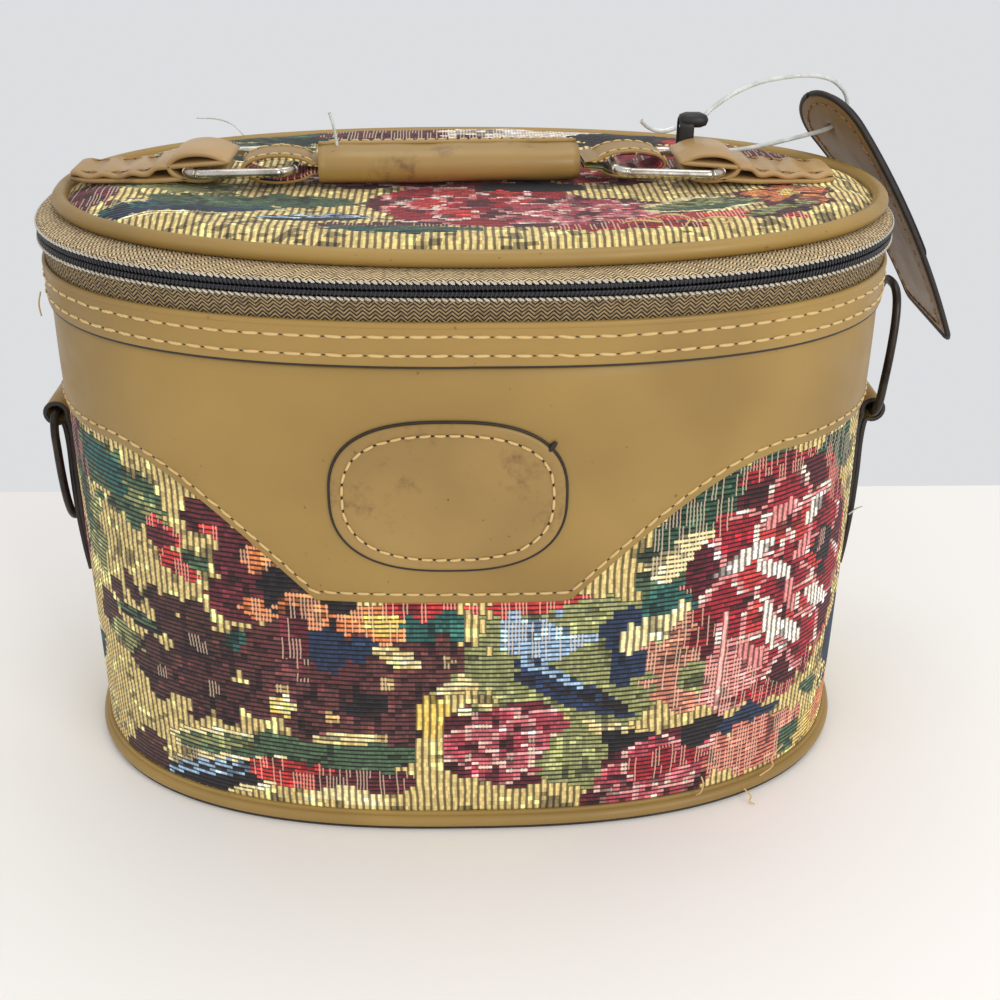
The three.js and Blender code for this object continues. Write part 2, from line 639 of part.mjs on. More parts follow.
// One leather layer of the tag with a round top and a hole for the loop, bent along its length.
function addTagLayer(name, inset, length, low, thick, material) {
  const half = TAG.width / 2;
  const radius = half - inset;
  const rows = 10;
  const outline = new THREE.Shape();
  outline.absarc(half, half, radius, Math.PI, 2 * Math.PI, false);
  for (let i = 1; i <= rows; i += 1) outline.lineTo(half + radius, half + ((length - half) * i) / rows);
  for (let i = rows; i >= 1; i -= 1) outline.lineTo(half - radius, half + ((length - half) * i) / rows);
  outline.closePath();
  const hole = new THREE.Path();
  hole.absarc(half, TAG.holeAlong, TAG.hole, 0, 2 * Math.PI, false);
  outline.holes.push(hole);
  const settings = { depth: thick, bevelEnabled: false, curveSegments: 12 };
  const geometry = new THREE.ExtrudeGeometry(outline, settings);
  const position = geometry.getAttribute('position');
  for (let i = 0; i < position.count; i += 1) {
    const p = tagPoint(position.getX(i), position.getY(i), low + position.getZ(i));
    position.setXYZ(i, p.x, p.y, p.z);
  }
  add(name, geometry, material);
}

// The black keeper that stands round the right ring's rear wire.
const KEEPER = {
  x: 73.5,
  width: 5,
  front: 13.2,
  rear: 21.2,
  bottom: 200,
  top: 216.8,
  skin: 0.9,
  corner: 2.2,
};

function keeperOutline(path, inset) {
  const front = KEEPER.front + inset;
  const rear = KEEPER.rear - inset;
  const bottom = KEEPER.bottom + inset;
  const top = KEEPER.top - inset;
  const corner = KEEPER.corner - inset / 2;
  path.moveTo(front, bottom);
  path.lineTo(rear, bottom);
  path.lineTo(rear, top - corner);
  path.lineTo(rear - corner, top);
  path.lineTo(front + corner, top);
  path.lineTo(front, top - corner);
  path.closePath();
  return path;
}

function addTagKeeper() {
  const outer = keeperOutline(new THREE.Shape(), 0);
  outer.holes.push(keeperOutline(new THREE.Path(), KEEPER.skin));
  const geometry = new THREE.ExtrudeGeometry(outer, { depth: KEEPER.width, bevelEnabled: false });
  geometry.rotateX(Math.PI / 2);
  geometry.rotateZ(Math.PI / 2);
  geometry.translate(KEEPER.x, 0, 0);
  add('tag_keeper', geometry, blackStrap);
}

// The stiff plastic loop: out of the keeper, over the tag's top, down through its hole and back.
const LOOP_ROUTE = [
  [73.9, 17, 214.4],
  [79.6, 17.1, 214.9],
  [85, 19, 219.6],
  [93, 21, 224.6],
  [103, 25, 227.7],
  [114, 29.5, 228.8],
  [123, 34, 228.4],
  [131, 38.3, 226.2],
  [136.5, 41, 222],
  [138.6, 42, 217.5],
  [137.6, 41.7, 213.4],
  [133.8, 40.1, 209.7],
  [128.8, 38.2, 208.1],
  [119, 34, 206.6],
  [108, 29.6, 205.1],
  [98, 25.9, 204.2],
  [90.5, 23.6, 204.4],
  [84, 22.4, 205.7],
  [79.6, 22.2, 208.2],
];
const LOOP_TAIL = [
  [60, 13.5, 216.5],
  [62.5, 13.6, 214.4],
  [65.5, 13.7, 213.2],
  [68.5, 13.8, 213],
  [72, 14.2, 214],
];

function nylonThrough(route, steps, kind) {
  const curve = new THREE.CatmullRomCurve3(route.map((p) => new THREE.Vector3(...p)), false, kind);
  return wire(curve.getSpacedPoints(steps), LOOP_RADIUS, 8, false, new THREE.Vector3(0, 1, 0));
}

function addTagLoop() {
  add('tag_loop', nylonThrough(LOOP_ROUTE, 56, 'centripetal'), clearNylon);
  add('tag_loop_tail', nylonThrough(LOOP_TAIL, 10, 'centripetal'), clearNylon);
}

addCaseShell();
addYoke();
addOvalPatch();
addZipperCase();
addBackHinge();
addSideTab('left_side_tab', -1);
addSideTab('right_side_tab', 1);
addDRing('left_d_ring', -1, 0);
addDRing('right_d_ring', 1, RIGHT_RING_LEAN - 180);
addPocket();
addLidZipper();
addLidShell();
addMirror();
addGrip();
addHandleStrap();
addHandleRing('left_handle_ring', -1);
addHandleRing('right_handle_ring', 1);
addChape('left_chape', -1);
addChape('right_chape', 1);
addSlider();
addTagLayer('luggage_tag', 0, TAG.length, 0, TAG.thick, vinyl);
const backingLow = -TAG_BACKING.gap - TAG_BACKING.thick;
addTagLayer('tag_backing', TAG_BACKING.inset, TAG_BACKING.length, backingLow, TAG_BACKING.thick, blackStrap);
addTagKeeper();
addTagLoop();

export default model;
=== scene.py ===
"""Looks for the makeup train case: tapestry, stitched vinyl, coil zip, rings and tag round the CAD frame."""

import math

import bpy
import numpy as np
from mathutils import Matrix, Vector


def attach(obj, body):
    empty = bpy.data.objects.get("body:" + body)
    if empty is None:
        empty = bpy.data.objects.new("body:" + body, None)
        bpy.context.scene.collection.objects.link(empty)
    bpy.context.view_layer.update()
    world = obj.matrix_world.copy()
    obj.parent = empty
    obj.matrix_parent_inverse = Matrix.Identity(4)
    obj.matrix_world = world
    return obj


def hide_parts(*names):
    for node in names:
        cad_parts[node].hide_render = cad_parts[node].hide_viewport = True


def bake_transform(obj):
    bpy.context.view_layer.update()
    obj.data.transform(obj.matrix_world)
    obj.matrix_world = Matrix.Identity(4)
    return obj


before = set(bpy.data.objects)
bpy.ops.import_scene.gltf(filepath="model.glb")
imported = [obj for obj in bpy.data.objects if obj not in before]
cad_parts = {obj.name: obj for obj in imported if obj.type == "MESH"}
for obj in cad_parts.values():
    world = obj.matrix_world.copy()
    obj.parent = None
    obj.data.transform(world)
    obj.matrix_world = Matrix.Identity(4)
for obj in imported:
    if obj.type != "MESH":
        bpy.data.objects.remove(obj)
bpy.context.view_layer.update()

MM = 0.001
# Superellipse outlines in millimetres: half width, half depth, exponent and the x of the centre.
BODY = (138.0, 93.0, 2.5, 0.0)
LID = (137.0, 86.0, 2.15, 2.0)
UP = np.array([0.0, 0.0, 1.0])
ACROSS = np.array([0.0, 1.0, 0.0])

# ---- Camera and light ---------------------------------------------------------------------------


CAMERA_PLACE = (-0.00502, -0.4741, 0.312)
CAMERA_YAW, CAMERA_PITCH, CAMERA_ROLL = -0.036, math.radians(63.76), 0.009
SENSOR_WIDTH, FOCAL_LENGTH = 36.0, 50.4
SKY_COLOUR, SKY_STRENGTH = (0.86, 0.87, 0.89, 1), 0.84


def add_camera():
    data = bpy.data.cameras.new("photo_camera")
    data.sensor_width = SENSOR_WIDTH
    data.lens = FOCAL_LENGTH
    camera = bpy.data.objects.new("photo_camera", data)
    aim = Matrix.Rotation(CAMERA_YAW, 4, "Z") @ Matrix.Rotation(CAMERA_PITCH, 4, "X")
    roll = Matrix.Rotation(CAMERA_ROLL, 4, "Z")
    camera.matrix_world = Matrix.Translation(CAMERA_PLACE) @ aim @ roll
    bpy.context.scene.collection.objects.link(camera)
    bpy.context.scene.camera = camera


def add_area_light(name, place, target, size, power, tint):
    data = bpy.data.lights.new(name, "AREA")
    data.energy = power
    data.size = size
    data.color = tint
    light = bpy.data.objects.new(name, data)
    light.location = place
    light.rotation_mode = "QUATERNION"
    light.rotation_quaternion = (Vector(target) - Vector(place)).to_track_quat("-Z", "Y")
    bpy.context.scene.collection.objects.link(light)


def add_lights():
    add_area_light("key", (0.75, -1.1, 0.75), (0, 0, 0.1), 0.7, 7.5, (1.0, 0.98, 0.94))
    add_area_light("fill", (-1.0, -0.9, 0.9), (0, 0, 0.1), 0.8, 2.0, (0.95, 0.97, 1.0))
    add_area_light("top", (0.1, 0.3, 1.5), (0, 0, 0.1), 0.8, 4.0, (1.0, 1.0, 1.0))
    world = bpy.data.worlds.new("studio")
    world.use_nodes = True
    world.node_tree.nodes["Background"].inputs[0].default_value = SKY_COLOUR
    world.node_tree.nodes["Background"].inputs[1].default_value = SKY_STRENGTH
    bpy.context.scene.world = world
    bpy.context.scene.view_settings.view_transform = "Standard"


# ---- Material nodes -----------------------------------------------------------------------------


def srgb(r, g, b):
    """A colour given as 0-255 screen values, in linear light."""
    def channel(c):
        c /= 255.0
        return c / 12.92 if c <= 0.04045 else ((c + 0.055) / 1.055) ** 2.4
    return (channel(r), channel(g), channel(b), 1.0)


class Shader:
    """A material under construction: each method adds one node and returns its output."""

    def __init__(self, name, rough=0.6, metal=0.0):
        self.material = bpy.data.materials.new(name)
        self.material.use_nodes = True
        self.tree = self.material.node_tree
        self.bsdf = self.tree.nodes["Principled BSDF"]
        self.bsdf.inputs["Roughness"].default_value = rough
        self.bsdf.inputs["Metallic"].default_value = metal

    def node(self, kind, **settings):
        made = self.tree.nodes.new(kind)
        for key, value in settings.items():
            setattr(made, key, value)
        return made

    def plug(self, socket, value):
        if isinstance(value, bpy.types.NodeSocket):
            self.tree.links.new(value, socket)
        else:
            socket.default_value = value

    def math(self, operation, a, b=0.0, c=0.0, clamp=False):
        made = self.node("ShaderNodeMath", operation=operation, use_clamp=clamp)
        for socket, value in zip(made.inputs, (a, b, c)):
            self.plug(socket, value)
        return made.outputs[0]

    def mix(self, factor, a, b, blend="MIX"):
        made = self.node("ShaderNodeMix", data_type="RGBA", blend_type=blend)
        self.plug(made.inputs[0], factor)
        self.plug(made.inputs[6], a)
        self.plug(made.inputs[7], b)
        return made.outputs[2]

    def place(self):
        return self.node("ShaderNodeTexCoord").outputs["Object"]

    def cloth_uv(self):
        split = self.node("ShaderNodeSeparateXYZ")
        self.plug(split.inputs[0], self.node("ShaderNodeUVMap", uv_map="cloth").outputs[0])
        return split.outputs[0], split.outputs[1]

    def noise(self, scale, detail=3.0, rough=0.55):
        made = self.node("ShaderNodeTexNoise")
        self.plug(made.inputs["Vector"], self.place())
        made.inputs["Scale"].default_value = scale
        made.inputs["Detail"].default_value = detail
        made.inputs["Roughness"].default_value = rough
        return made.outputs["Fac"]

    def cells(self, scale):
        made = self.node("ShaderNodeTexVoronoi", feature="DISTANCE_TO_EDGE")
        self.plug(made.inputs["Vector"], self.place())
        made.inputs["Scale"].default_value = scale
        return made.outputs["Distance"]

    def arch(self, value):
        """Half a sine wave over each whole step of value."""
        return self.math("SINE", self.math("MULTIPLY", self.math("FRACT", value), math.pi))

    def spread(self, value, low, high, out_low=0.0, out_high=1.0, smooth=False):
        made = self.node("ShaderNodeMapRange", interpolation_type="SMOOTHSTEP" if smooth else "LINEAR")
        self.plug(made.inputs[0], value)
        for i, limit in enumerate((low, high, out_low, out_high)):
            made.inputs[i + 1].default_value = limit
        return made.outputs[0]

    def random_at(self, x, y):
        """A fixed random value for each whole-number cell of x and y."""
        join = self.node("ShaderNodeCombineXYZ")
        self.plug(join.inputs[0], self.math("FLOOR", x))
        self.plug(join.inputs[1], self.math("FLOOR", y))
        made = self.node("ShaderNodeTexWhiteNoise", noise_dimensions="3D")
        self.plug(made.inputs["Vector"], join.outputs[0])
        return made.outputs["Value"]

    def colour(self, value):
        self.plug(self.bsdf.inputs["Base Color"], value)
        return self

    def rough(self, value):
        self.plug(self.bsdf.inputs["Roughness"], value)
        return self

    def bump(self, height, strength=0.3, distance=0.0003):
        made = self.node("ShaderNodeBump")
        made.inputs["Strength"].default_value = strength
        made.inputs["Distance"].default_value = distance
        self.plug(made.inputs["Height"], height)
        self.plug(self.bsdf.inputs["Normal"], made.outputs[0])
        return self


RUB_BROWN = (104, 74, 38)
SPECK_BROWN = (66, 46, 26)


def vinyl_material(name, base, dark, stain=0.5, rough=0.42):
    """Embossed vinyl: fine grain, cloudy tone, brown rubs and a few dark specks."""
    s = Shader(name)
    clouds = s.spread(s.noise(14, 4), 0.35, 0.68)
    tone = s.mix(s.math("MULTIPLY", clouds, 0.55), srgb(*base), srgb(*dark))
    start, full = 0.67 - 0.13 * stain, 0.81 - 0.13 * stain
    rub = s.spread(s.noise(38, 6, 0.7), start, full, 0, 0.8 * stain, smooth=True)
    tone = s.mix(rub, tone, srgb(*RUB_BROWN))
    speck = s.spread(s.noise(420, 2, 0.5), 0.73, 0.78, 0, 0.5)
    tone = s.mix(speck, tone, srgb(*SPECK_BROWN))
    grime = s.spread(s.noise(7, 3, 0.6), 0.38, 0.62, 0, 0.3, smooth=True)
    tone = s.mix(grime, tone, srgb(*[channel * 0.78 for channel in dark]))
    s.colour(tone)
    s.rough(s.spread(s.noise(60, 3), 0.3, 0.7, rough - 0.07, rough + 0.12))
    grain = s.math("ADD", s.math("MULTIPLY", s.cells(1400), 0.8), s.noise(900, 3))
    return s.bump(s.math("ADD", grain, s.math("MULTIPLY", s.noise(90, 3), 2.2)), 0.22, 0.00012).material


def tapestry_material():
    """Jacquard weave: the yarn colour of each cell comes from the mesh, its threads from the cloth's u and v.

    The attribute's alpha says how a cell is woven: 0 ribs with painted shade between them and a painted
    highlight along each ridge, 0.5 ribs crossed by lighter threads, 1 upright cords with painted shade between
    them.
    """
    s = Shader("tapestry", rough=0.85)
    s.bsdf.inputs["Sheen Weight"].default_value = 0.1
    yarn = s.node("ShaderNodeAttribute", attribute_name="yarn")
    u, v = s.cloth_uv()
    ripple = s.math("MULTIPLY", s.math("SUBTRACT", s.noise(150, 2), 0.5), 0.35)
    across = s.math("ADD", s.math("DIVIDE", u, CELL_U), ripple)
    along = s.math("ADD", s.math("DIVIDE", v, CELL_V), ripple)
    rib = s.arch(along)
    cord = s.arch(across)
    fine = s.arch(s.math("MULTIPLY", across, 2.0))
    kind = yarn.outputs["Alpha"]
    upright = s.spread(kind, 0.6, 0.9)
    crossed = s.math("SUBTRACT", 1.0, s.math("ABSOLUTE", s.math("MULTIPLY_ADD", kind, 2.0, -1.0)), clamp=True)
    ridge = s.math("MULTIPLY", s.spread(rib, 0.35, 0.8, smooth=True), s.spread(fine, 0.0, 0.5, 0.72, 1.0))
    column = s.math("MULTIPLY", s.spread(cord, 0.34, 0.78, smooth=True), s.spread(rib, 0.0, 0.6, 0.8, 1.0))
    weave = s.math("MULTIPLY_ADD", upright, s.math("SUBTRACT", column, ridge), ridge)
    # Painted shade and highlight: the weave profile darkens the colour in the gaps and brightens it on the
    # crests, deeper for ribs than for cords.
    low = s.spread(upright, 0, 1, 0.1, 0.27)
    shade = s.math("MULTIPLY_ADD", weave, s.math("SUBTRACT", 1.3, low), low)
    tint = s.random_at(s.math("MULTIPLY", across, 2.0), along)
    shade = s.math("MULTIPLY", shade, s.spread(tint, 0, 1, 0.72, 1.3))
    joined = s.node("ShaderNodeCombineColor")
    for socket in joined.inputs:
        s.plug(socket, shade)
    tone = s.mix(1.0, yarn.outputs["Color"], joined.outputs[0], "MULTIPLY")
    line = s.spread(fine, 0.72, 0.92, smooth=True)
    chance = s.random_at(s.math("MULTIPLY", across, 2.0), s.math("MULTIPLY", along, 0.22))
    thread = s.math("MULTIPLY", line, s.math("GREATER_THAN", chance, 0.42))
    lit = s.math("MULTIPLY", s.math("MULTIPLY", thread, crossed), 0.8)
    pale = s.mix(0.62, yarn.outputs["Color"], srgb(250, 222, 190))
    s.colour(s.mix(lit, tone, pale))
    return s.bump(weave, 0.6, 0.0006).material


def tape_material(name, dark, light):
    """Herringbone zip tape, its chevrons about two millimetres wide."""
    s = Shader(name, rough=0.85)
    u, v = s.cloth_uv()
    bent = s.math("ABSOLUTE", s.math("SUBTRACT", s.math("FRACT", s.math("DIVIDE", u, 3.6)), 0.5))
    slope = s.math("ADD", s.math("MULTIPLY", bent, 2.6), s.math("DIVIDE", v, 1.3))
    twill = s.arch(slope)
    # Painted shade and highlight: the colour runs from dark in the gaps between the twill's yarns to light on
    # their crests.
    tone = s.mix(s.spread(twill, 0.45, 0.8, smooth=True), srgb(*dark), srgb(*light))
    tint = s.random_at(s.math("DIVIDE", u, 0.9), slope)
    s.colour(s.mix(s.spread(tint, 0.5, 1, 0, 0.45), tone, srgb(*dark)))
    return s.bump(twill, 0.7, 0.0005).material


def plain_cloth(name, light, dark, pitch=0.55):
    """Plain-woven lining cloth with a fine over-and-under weave."""
    s = Shader(name, rough=0.9)
    u, v = s.cloth_uv()
    warp = s.math("SINE", s.math("MULTIPLY", s.math("DIVIDE", u, pitch), math.pi))
    weft = s.math("SINE", s.math("MULTIPLY", s.math("DIVIDE", v, pitch), math.pi))
    weave = s.math("MULTIPLY", warp, weft)
    tone = s.mix(s.spread(weave, -0.6, 0.6), srgb(*dark), srgb(*light))
    s.colour(s.mix(s.spread(s.noise(18, 4), 0.35, 0.75, 0, 0.4), tone, srgb(*dark)))
    return s.bump(weave, 0.4, 0.0002).material


def thread_material(name, light, dark):
    s = Shader(name, rough=0.65)
    ply = s.node("ShaderNodeTexWave", bands_direction="DIAGONAL")
    s.plug(ply.inputs["Vector"], s.place())
    ply.inputs["Scale"].default_value = 900
    tone = s.mix(s.spread(ply.outputs["Fac"], 0.2, 0.8), srgb(*dark), srgb(*light))
    s.colour(s.mix(s.spread(s.noise(45, 3), 0.5, 0.75, 0, 0.5), tone, srgb(*dark)))
    return s.bump(ply.outputs["Fac"], 0.3, 0.0001).material


def metal_material(name, light, dark, rough, metal=1.0):
    s = Shader(name, rough, metal)
    patina = s.spread(s.noise(120, 5, 0.65), 0.45, 0.72)
    s.colour(s.mix(patina, srgb(*light), srgb(*dark)))
    s.rough(s.spread(s.noise(200, 3), 0.3, 0.75, rough - 0.06, rough + 0.2))
    return s.bump(s.noise(700, 2), 0.12, 0.00006).material


def mottled(name, light, dark, scale=60, rough=0.7, bump=0.25):
    s = Shader(name, rough)
    spots = s.noise(scale, 5, 0.6)
    s.colour(s.mix(s.spread(spots, 0.35, 0.7), srgb(*light), srgb(*dark)))
    return s.bump(s.noise(scale * 9, 3), bump, 0.0001).material


def nylon_material():
    s = Shader("clear_nylon", 0.28)
    s.colour(s.mix(s.spread(s.noise(240, 3), 0.4, 0.7), srgb(236, 238, 234), srgb(196, 202, 196)))
    s.bsdf.inputs["Transmission Weight"].default_value = 0.25
    return s.bump(s.noise(900, 2), 0.1, 0.00005).material


def floor_material():
    s = Shader("table_top", 0.55)
    s.colour(s.mix(s.noise(3, 2), srgb(252, 249, 245), srgb(247, 243, 238)))
    return s.material


# ---- Outline and mesh helpers (millimetres, turned into metres when a mesh is made) --------------


def running_length(points):
    """The length along a line of points, from nought at its first."""
    return np.concatenate([[0], np.cumsum(np.linalg.norm(np.diff(points, axis=0), axis=1))])


def outline_point(shape, t, offset=0.0, z=0.0):
    """Points on a superellipse at parameter t, moved outwards by offset, at height z."""
    a, b, n, centre = shape
    t = np.asarray(t, float)
    c, s = np.cos(t), np.sin(t)
    x = np.sign(c) * a * np.abs(c) ** (2 / n)
    y = np.sign(s) * b * np.abs(s) ** (2 / n)
    nx = np.sign(x) * (np.abs(x) / a) ** (n - 1) / a
    ny = np.sign(y) * (np.abs(y) / b) ** (n - 1) / b
    size = np.hypot(nx, ny)
    x, y = centre + x + offset * nx / size, y + offset * ny / size
    return np.stack([x, y, np.broadcast_to(np.asarray(z, float), x.shape)], -1)


ARC_STEPS = np.linspace(-math.pi / 2, 1.5 * math.pi, 8001)
ARC_TABLE = running_length(outline_point(BODY, ARC_STEPS))
PERIMETER = float(ARC_TABLE[-1])


def at_arc(arc):
    """The outline parameter at an arc length from the front centre towards the right side."""
    return np.interp(np.mod(arc, PERIMETER), ARC_TABLE, ARC_STEPS)


def wall_point(arc, offset, z, shape=BODY):
    return outline_point(shape, at_arc(arc), offset, z)


def polar(points):
    """The direction of each point from the case's middle, rising from the front centre."""
    return np.mod(np.arctan2(points[..., 1], points[..., 0]) + math.pi / 2, 2 * math.pi)


LID_POLAR = polar(outline_point(LID, ARC_STEPS[1:-1]))


def across_from(arc, offset, z):
    """The lid-outline point in the same direction as the wall's point at this arc."""
    order = np.argsort(LID_POLAR)
    t = np.interp(polar(outline_point(BODY, at_arc(arc))), LID_POLAR[order], ARC_STEPS[1:-1][order])
    return outline_point(LID, t, offset, z)


def make_object(name, points, faces, material, uv=None):
    mesh = bpy.data.meshes.new(name)
    mesh.from_pydata((np.asarray(points, float) * MM).tolist(), [], [list(map(int, f)) for f in faces])
    mesh.update()
    mesh.polygons.foreach_set("use_smooth", [True] * len(mesh.polygons))
    if uv is not None:
        layer = mesh.uv_layers.new(name="cloth")
        layer.data.foreach_set("uv", np.asarray(uv, np.float32).ravel())
    mesh.materials.append(material)
    made = bpy.data.objects.new(name, mesh)
    bpy.context.scene.collection.objects.link(made)
    return made


def finish_piece(obj, body, nodes=()):
    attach(obj, body)
    if nodes:
        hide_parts(*nodes)
    return obj


def grid_faces(nu, nv, closed_u, closed_v):
    """Quads of a grid of nu by nv points, and the grid steps (u, v) of each of their corners."""
    across, along = (np.arange(n if closed else n - 1) for n, closed in ((nu, closed_u), (nv, closed_v)))
    i, j = np.meshgrid(across, along, indexing="ij")
    i, j = i.ravel(), j.ravel()
    steps = [(i, j), (i + 1, j), (i + 1, j + 1), (i, j + 1)]
    faces = np.stack([(a % nu) * nv + (b % nv) for a, b in steps], 1)
    corners = np.stack([np.stack([a, b], 1) for a, b in steps], 1)
    return faces, corners


def loft(name, rings, material, closed=False, uv_u=None, uv_v=None):
    """A tube-like body from cross-sections rings[i, j]; its ends are capped unless it closes on itself."""
    nu, nv, _ = rings.shape
    faces, corners = grid_faces(nu, nv, closed, True)
    middles = np.concatenate([rings, rings[:1]]).mean(1)
    u = running_length(middles) if uv_u is None else np.asarray(uv_u, float)
    if uv_v is None:
        step_v = np.linalg.norm(np.diff(np.concatenate([rings, rings[:, :1]], 1), axis=1), axis=2)
        v = np.concatenate([np.zeros((nu, 1)), np.cumsum(step_v, axis=1)], 1)
    else:
        v = np.broadcast_to(np.asarray(uv_v, float), (nu, nv + 1))
    uv = np.stack([u[corners[..., 0]], v[corners[..., 0] % nu, corners[..., 1]]], -1).reshape(-1, 2)
    faces = faces.tolist()
    if not closed:
        faces += [list(range(nv))[::-1], [(nu - 1) * nv + k for k in range(nv)]]
        uv = np.concatenate([uv, np.zeros((2 * nv, 2))])
    made = make_object(name, rings.reshape(-1, 3), faces, material, uv)
    face_out(made)
    return made


def face_out(obj):
    """Turns the faces over if the enclosed volume is negative."""
    mesh = obj.data
    co = np.zeros(len(mesh.vertices) * 3)
    mesh.vertices.foreach_get("co", co)
    co = co.reshape(-1, 3)
    mesh.calc_loop_triangles()
    tri = np.zeros(len(mesh.loop_triangles) * 3, int)
    mesh.loop_triangles.foreach_get("vertices", tri)
    a, b, c = co[tri.reshape(-1, 3)].transpose(1, 0, 2)
    if np.einsum("ij,ij->i", a, np.cross(b, c)).sum() < 0:
        mesh.flip_normals()


def rounded_box(half_w, half_h, radius, steps=4):
    """The corners of a rounded rectangle, anticlockwise, as (across, up) pairs."""
    radius = min(radius, half_w, half_h)
    out = []
    for cx, cy, first in ((1, 1, 0), (-1, 1, 90), (-1, -1, 180), (1, -1, 270)):
        for k in range(steps + 1):
            a = math.radians(first + 90 * k / steps)
            x = cx * (half_w - radius) + radius * math.cos(a)
            y = cy * (half_h - radius) + radius * math.sin(a)
            out.append((x, y))
    return np.array(out)


def circle(radius, sides):
    a = np.linspace(0, 2 * math.pi, sides, endpoint=False)
    return np.stack([radius * np.cos(a), radius * np.sin(a)], 1)


def smooth_path(points, count, closed=False):
    """Evenly spaced points of a Catmull-Rom curve through points."""
    p = np.asarray(points, float)
    if closed:
        p = np.concatenate([p[-1:], p, p[:2]])
    else:
        p = np.concatenate([2 * p[:1] - p[1:2], p, 2 * p[-1:] - p[-2:-1]])
    fine = []
    for k in range(1, len(p) - 2):
        s = np.linspace(0, 1, 24, endpoint=False)[:, None]
        a, b, c, d = p[k - 1], p[k], p[k + 1], p[k + 2]
        curve = 2 * b + (c - a) * s + (2 * a - 5 * b + 4 * c - d) * s**2
        fine.append(0.5 * (curve + (3 * b - a - 3 * c + d) * s**3))
    fine = np.concatenate(fine + [p[-2:-1]])
    run = running_length(fine)
    wanted = np.linspace(0, run[-1], count + 1 if closed else count)
    out = np.stack([np.interp(wanted, run, fine[:, k]) for k in range(3)], 1)
    return out[:-1] if closed else out


def unit(v):
    return v / np.maximum(np.linalg.norm(v, axis=-1, keepdims=True), 1e-12)


def tangents(path, closed=False):
    if closed:
        return unit(np.roll(path, -1, 0) - np.roll(path, 1, 0))
    return unit(np.gradient(path, axis=0))


def sweep(name, path, section, across, material, closed=False):
    """A section of (across, up) pairs carried along path; across is the section's first axis."""
    path = np.asarray(path, float)
    along = tangents(path, closed)
    side = np.broadcast_to(np.asarray(across, float), path.shape)
    side = unit(side - along * np.einsum("ij,ij->i", side, along)[:, None])
    lift = np.cross(side, along)
    section = np.asarray(section, float)
    if section.ndim == 2:
        section = np.broadcast_to(section, (len(path), *section.shape))
    rings = path[:, None] + section[..., :1] * side[:, None] + section[..., 1:] * lift[:, None]
    return loft(name, rings, material, closed)


def join(name, parts):
    """One object from several, keeping their materials."""
    bpy.ops.object.select_all(action="DESELECT")
    for part in parts:
        part.select_set(True)
    bpy.context.view_layer.objects.active = parts[0]
    bpy.ops.object.join()
    parts[0].name = name
    parts[0].data.name = name
    return parts[0]


def beads(name, places, along, up, material, half_length, radius, flat=0.75, bow=0.0, tilt=None):
    """Many small rounded capsules in one mesh: stitches, coil turns and chain loops."""
    ring_at = np.array([-1.0, -0.86, -0.45, 0.0, 0.45, 0.86, 1.0])
    ring_size = np.array([0.25, 0.72, 1.0, 1.0, 1.0, 0.72, 0.25])
    sides = 6
    angle = np.linspace(0, 2 * math.pi, sides, endpoint=False)
    along, up = unit(np.asarray(along, float)), np.asarray(up, float)
    up = unit(up - along * np.einsum("ij,ij->i", up, along)[:, None])
    side = np.cross(along, up)
    if tilt is not None:
        turned = along * math.cos(tilt) + side * math.sin(tilt)
        side = unit(np.cross(turned, up))
        along = turned
    shape_u = (ring_at * half_length)[None, :, None, None] * along[:, None, None, :]
    lift = (bow * (1 - ring_at**2))[None, :, None, None] * up[:, None, None, :]
    cos = (ring_size[:, None] * np.cos(angle)[None] * radius)[None, :, :, None] * side[:, None, None, :]
    sin = (ring_size[:, None] * np.sin(angle)[None] * radius * flat)[None, :, :, None] * up[:, None, None, :]
    points = np.asarray(places, float)[:, None, None, :] + shape_u + lift + cos + sin
    count, rings = len(places), len(ring_at)
    quads, _ = grid_faces(rings, sides, False, True)
    ends = [list(range(sides))[::-1], [(rings - 1) * sides + k for k in range(sides)]]
    faces = []
    for k in range(count):
        base = k * rings * sides
        faces += (quads + base).tolist() + [[base + v for v in end] for end in ends]
    made = make_object(name, points.reshape(-1, 3), faces, material)
    face_out(made)
    return made


STITCH_FILL = 0.8
STITCH_SINK = 0.1
HOLE_HALF, HOLE_RADIUS = 0.62, 0.3


def stitch_line(name, path, normals, pitch, material, radius, closed=False):
    """Thread stitches, with a dark bead of painted shade in the needle hole between them, along a path on a
    surface with these normals.
    """
    path = np.asarray(path, float)
    loop = np.concatenate([path, path[:1]]) if closed else path
    ups = np.concatenate([normals, normals[:1]]) if closed else np.asarray(normals, float)
    run = running_length(loop)
    count = max(2, int(round(run[-1] / pitch)))
    middles = (np.arange(count) + 0.5) * run[-1] / count

    def sample(values, s):
        return np.stack([np.interp(s, run, values[:, k]) for k in range(3)], 1)

    half = 0.5 * STITCH_FILL * run[-1] / count
    along = sample(loop, np.minimum(middles + half, run[-1])) - sample(loop, np.maximum(middles - half, 0))
    up = unit(sample(ups, middles))
    jitter = np.random.default_rng(len(name) + count)
    along = unit(along) + 0.05 * jitter.normal(size=along.shape)
    places = sample(loop, middles) - STITCH_SINK * up
    thread = beads(name, places, along, up, material, half, radius, 0.85, 0.2)
    ends = middles + 0.5 * run[-1] / count
    ends = ends[: None if closed else -1]
    spots = sample(loop, np.mod(ends, run[-1]))
    out = unit(sample(ups, np.mod(ends, run[-1])))
    lean = np.resize(along, out.shape)
    spots = spots - STITCH_SINK * out
    # Dark beads sunk between the stitches: painted shade in the needle holes.
    holes = beads(f"{name}_holes", spots, lean, out, DARK_RESIDUE_AND_HOLE_SHADE, HOLE_HALF, HOLE_RADIUS, 0.6)
    return join(name, [thread, holes])


def sew(body, *stitches, **options):
    """A stitch line that rides on a body as one of its vinyl pieces."""
    finish_piece(stitch_line(*stitches, **options), body)


# ---- The woven pattern --------------------------------------------------------------------------

CELL_U = 2.3
CELL_V = 1.68

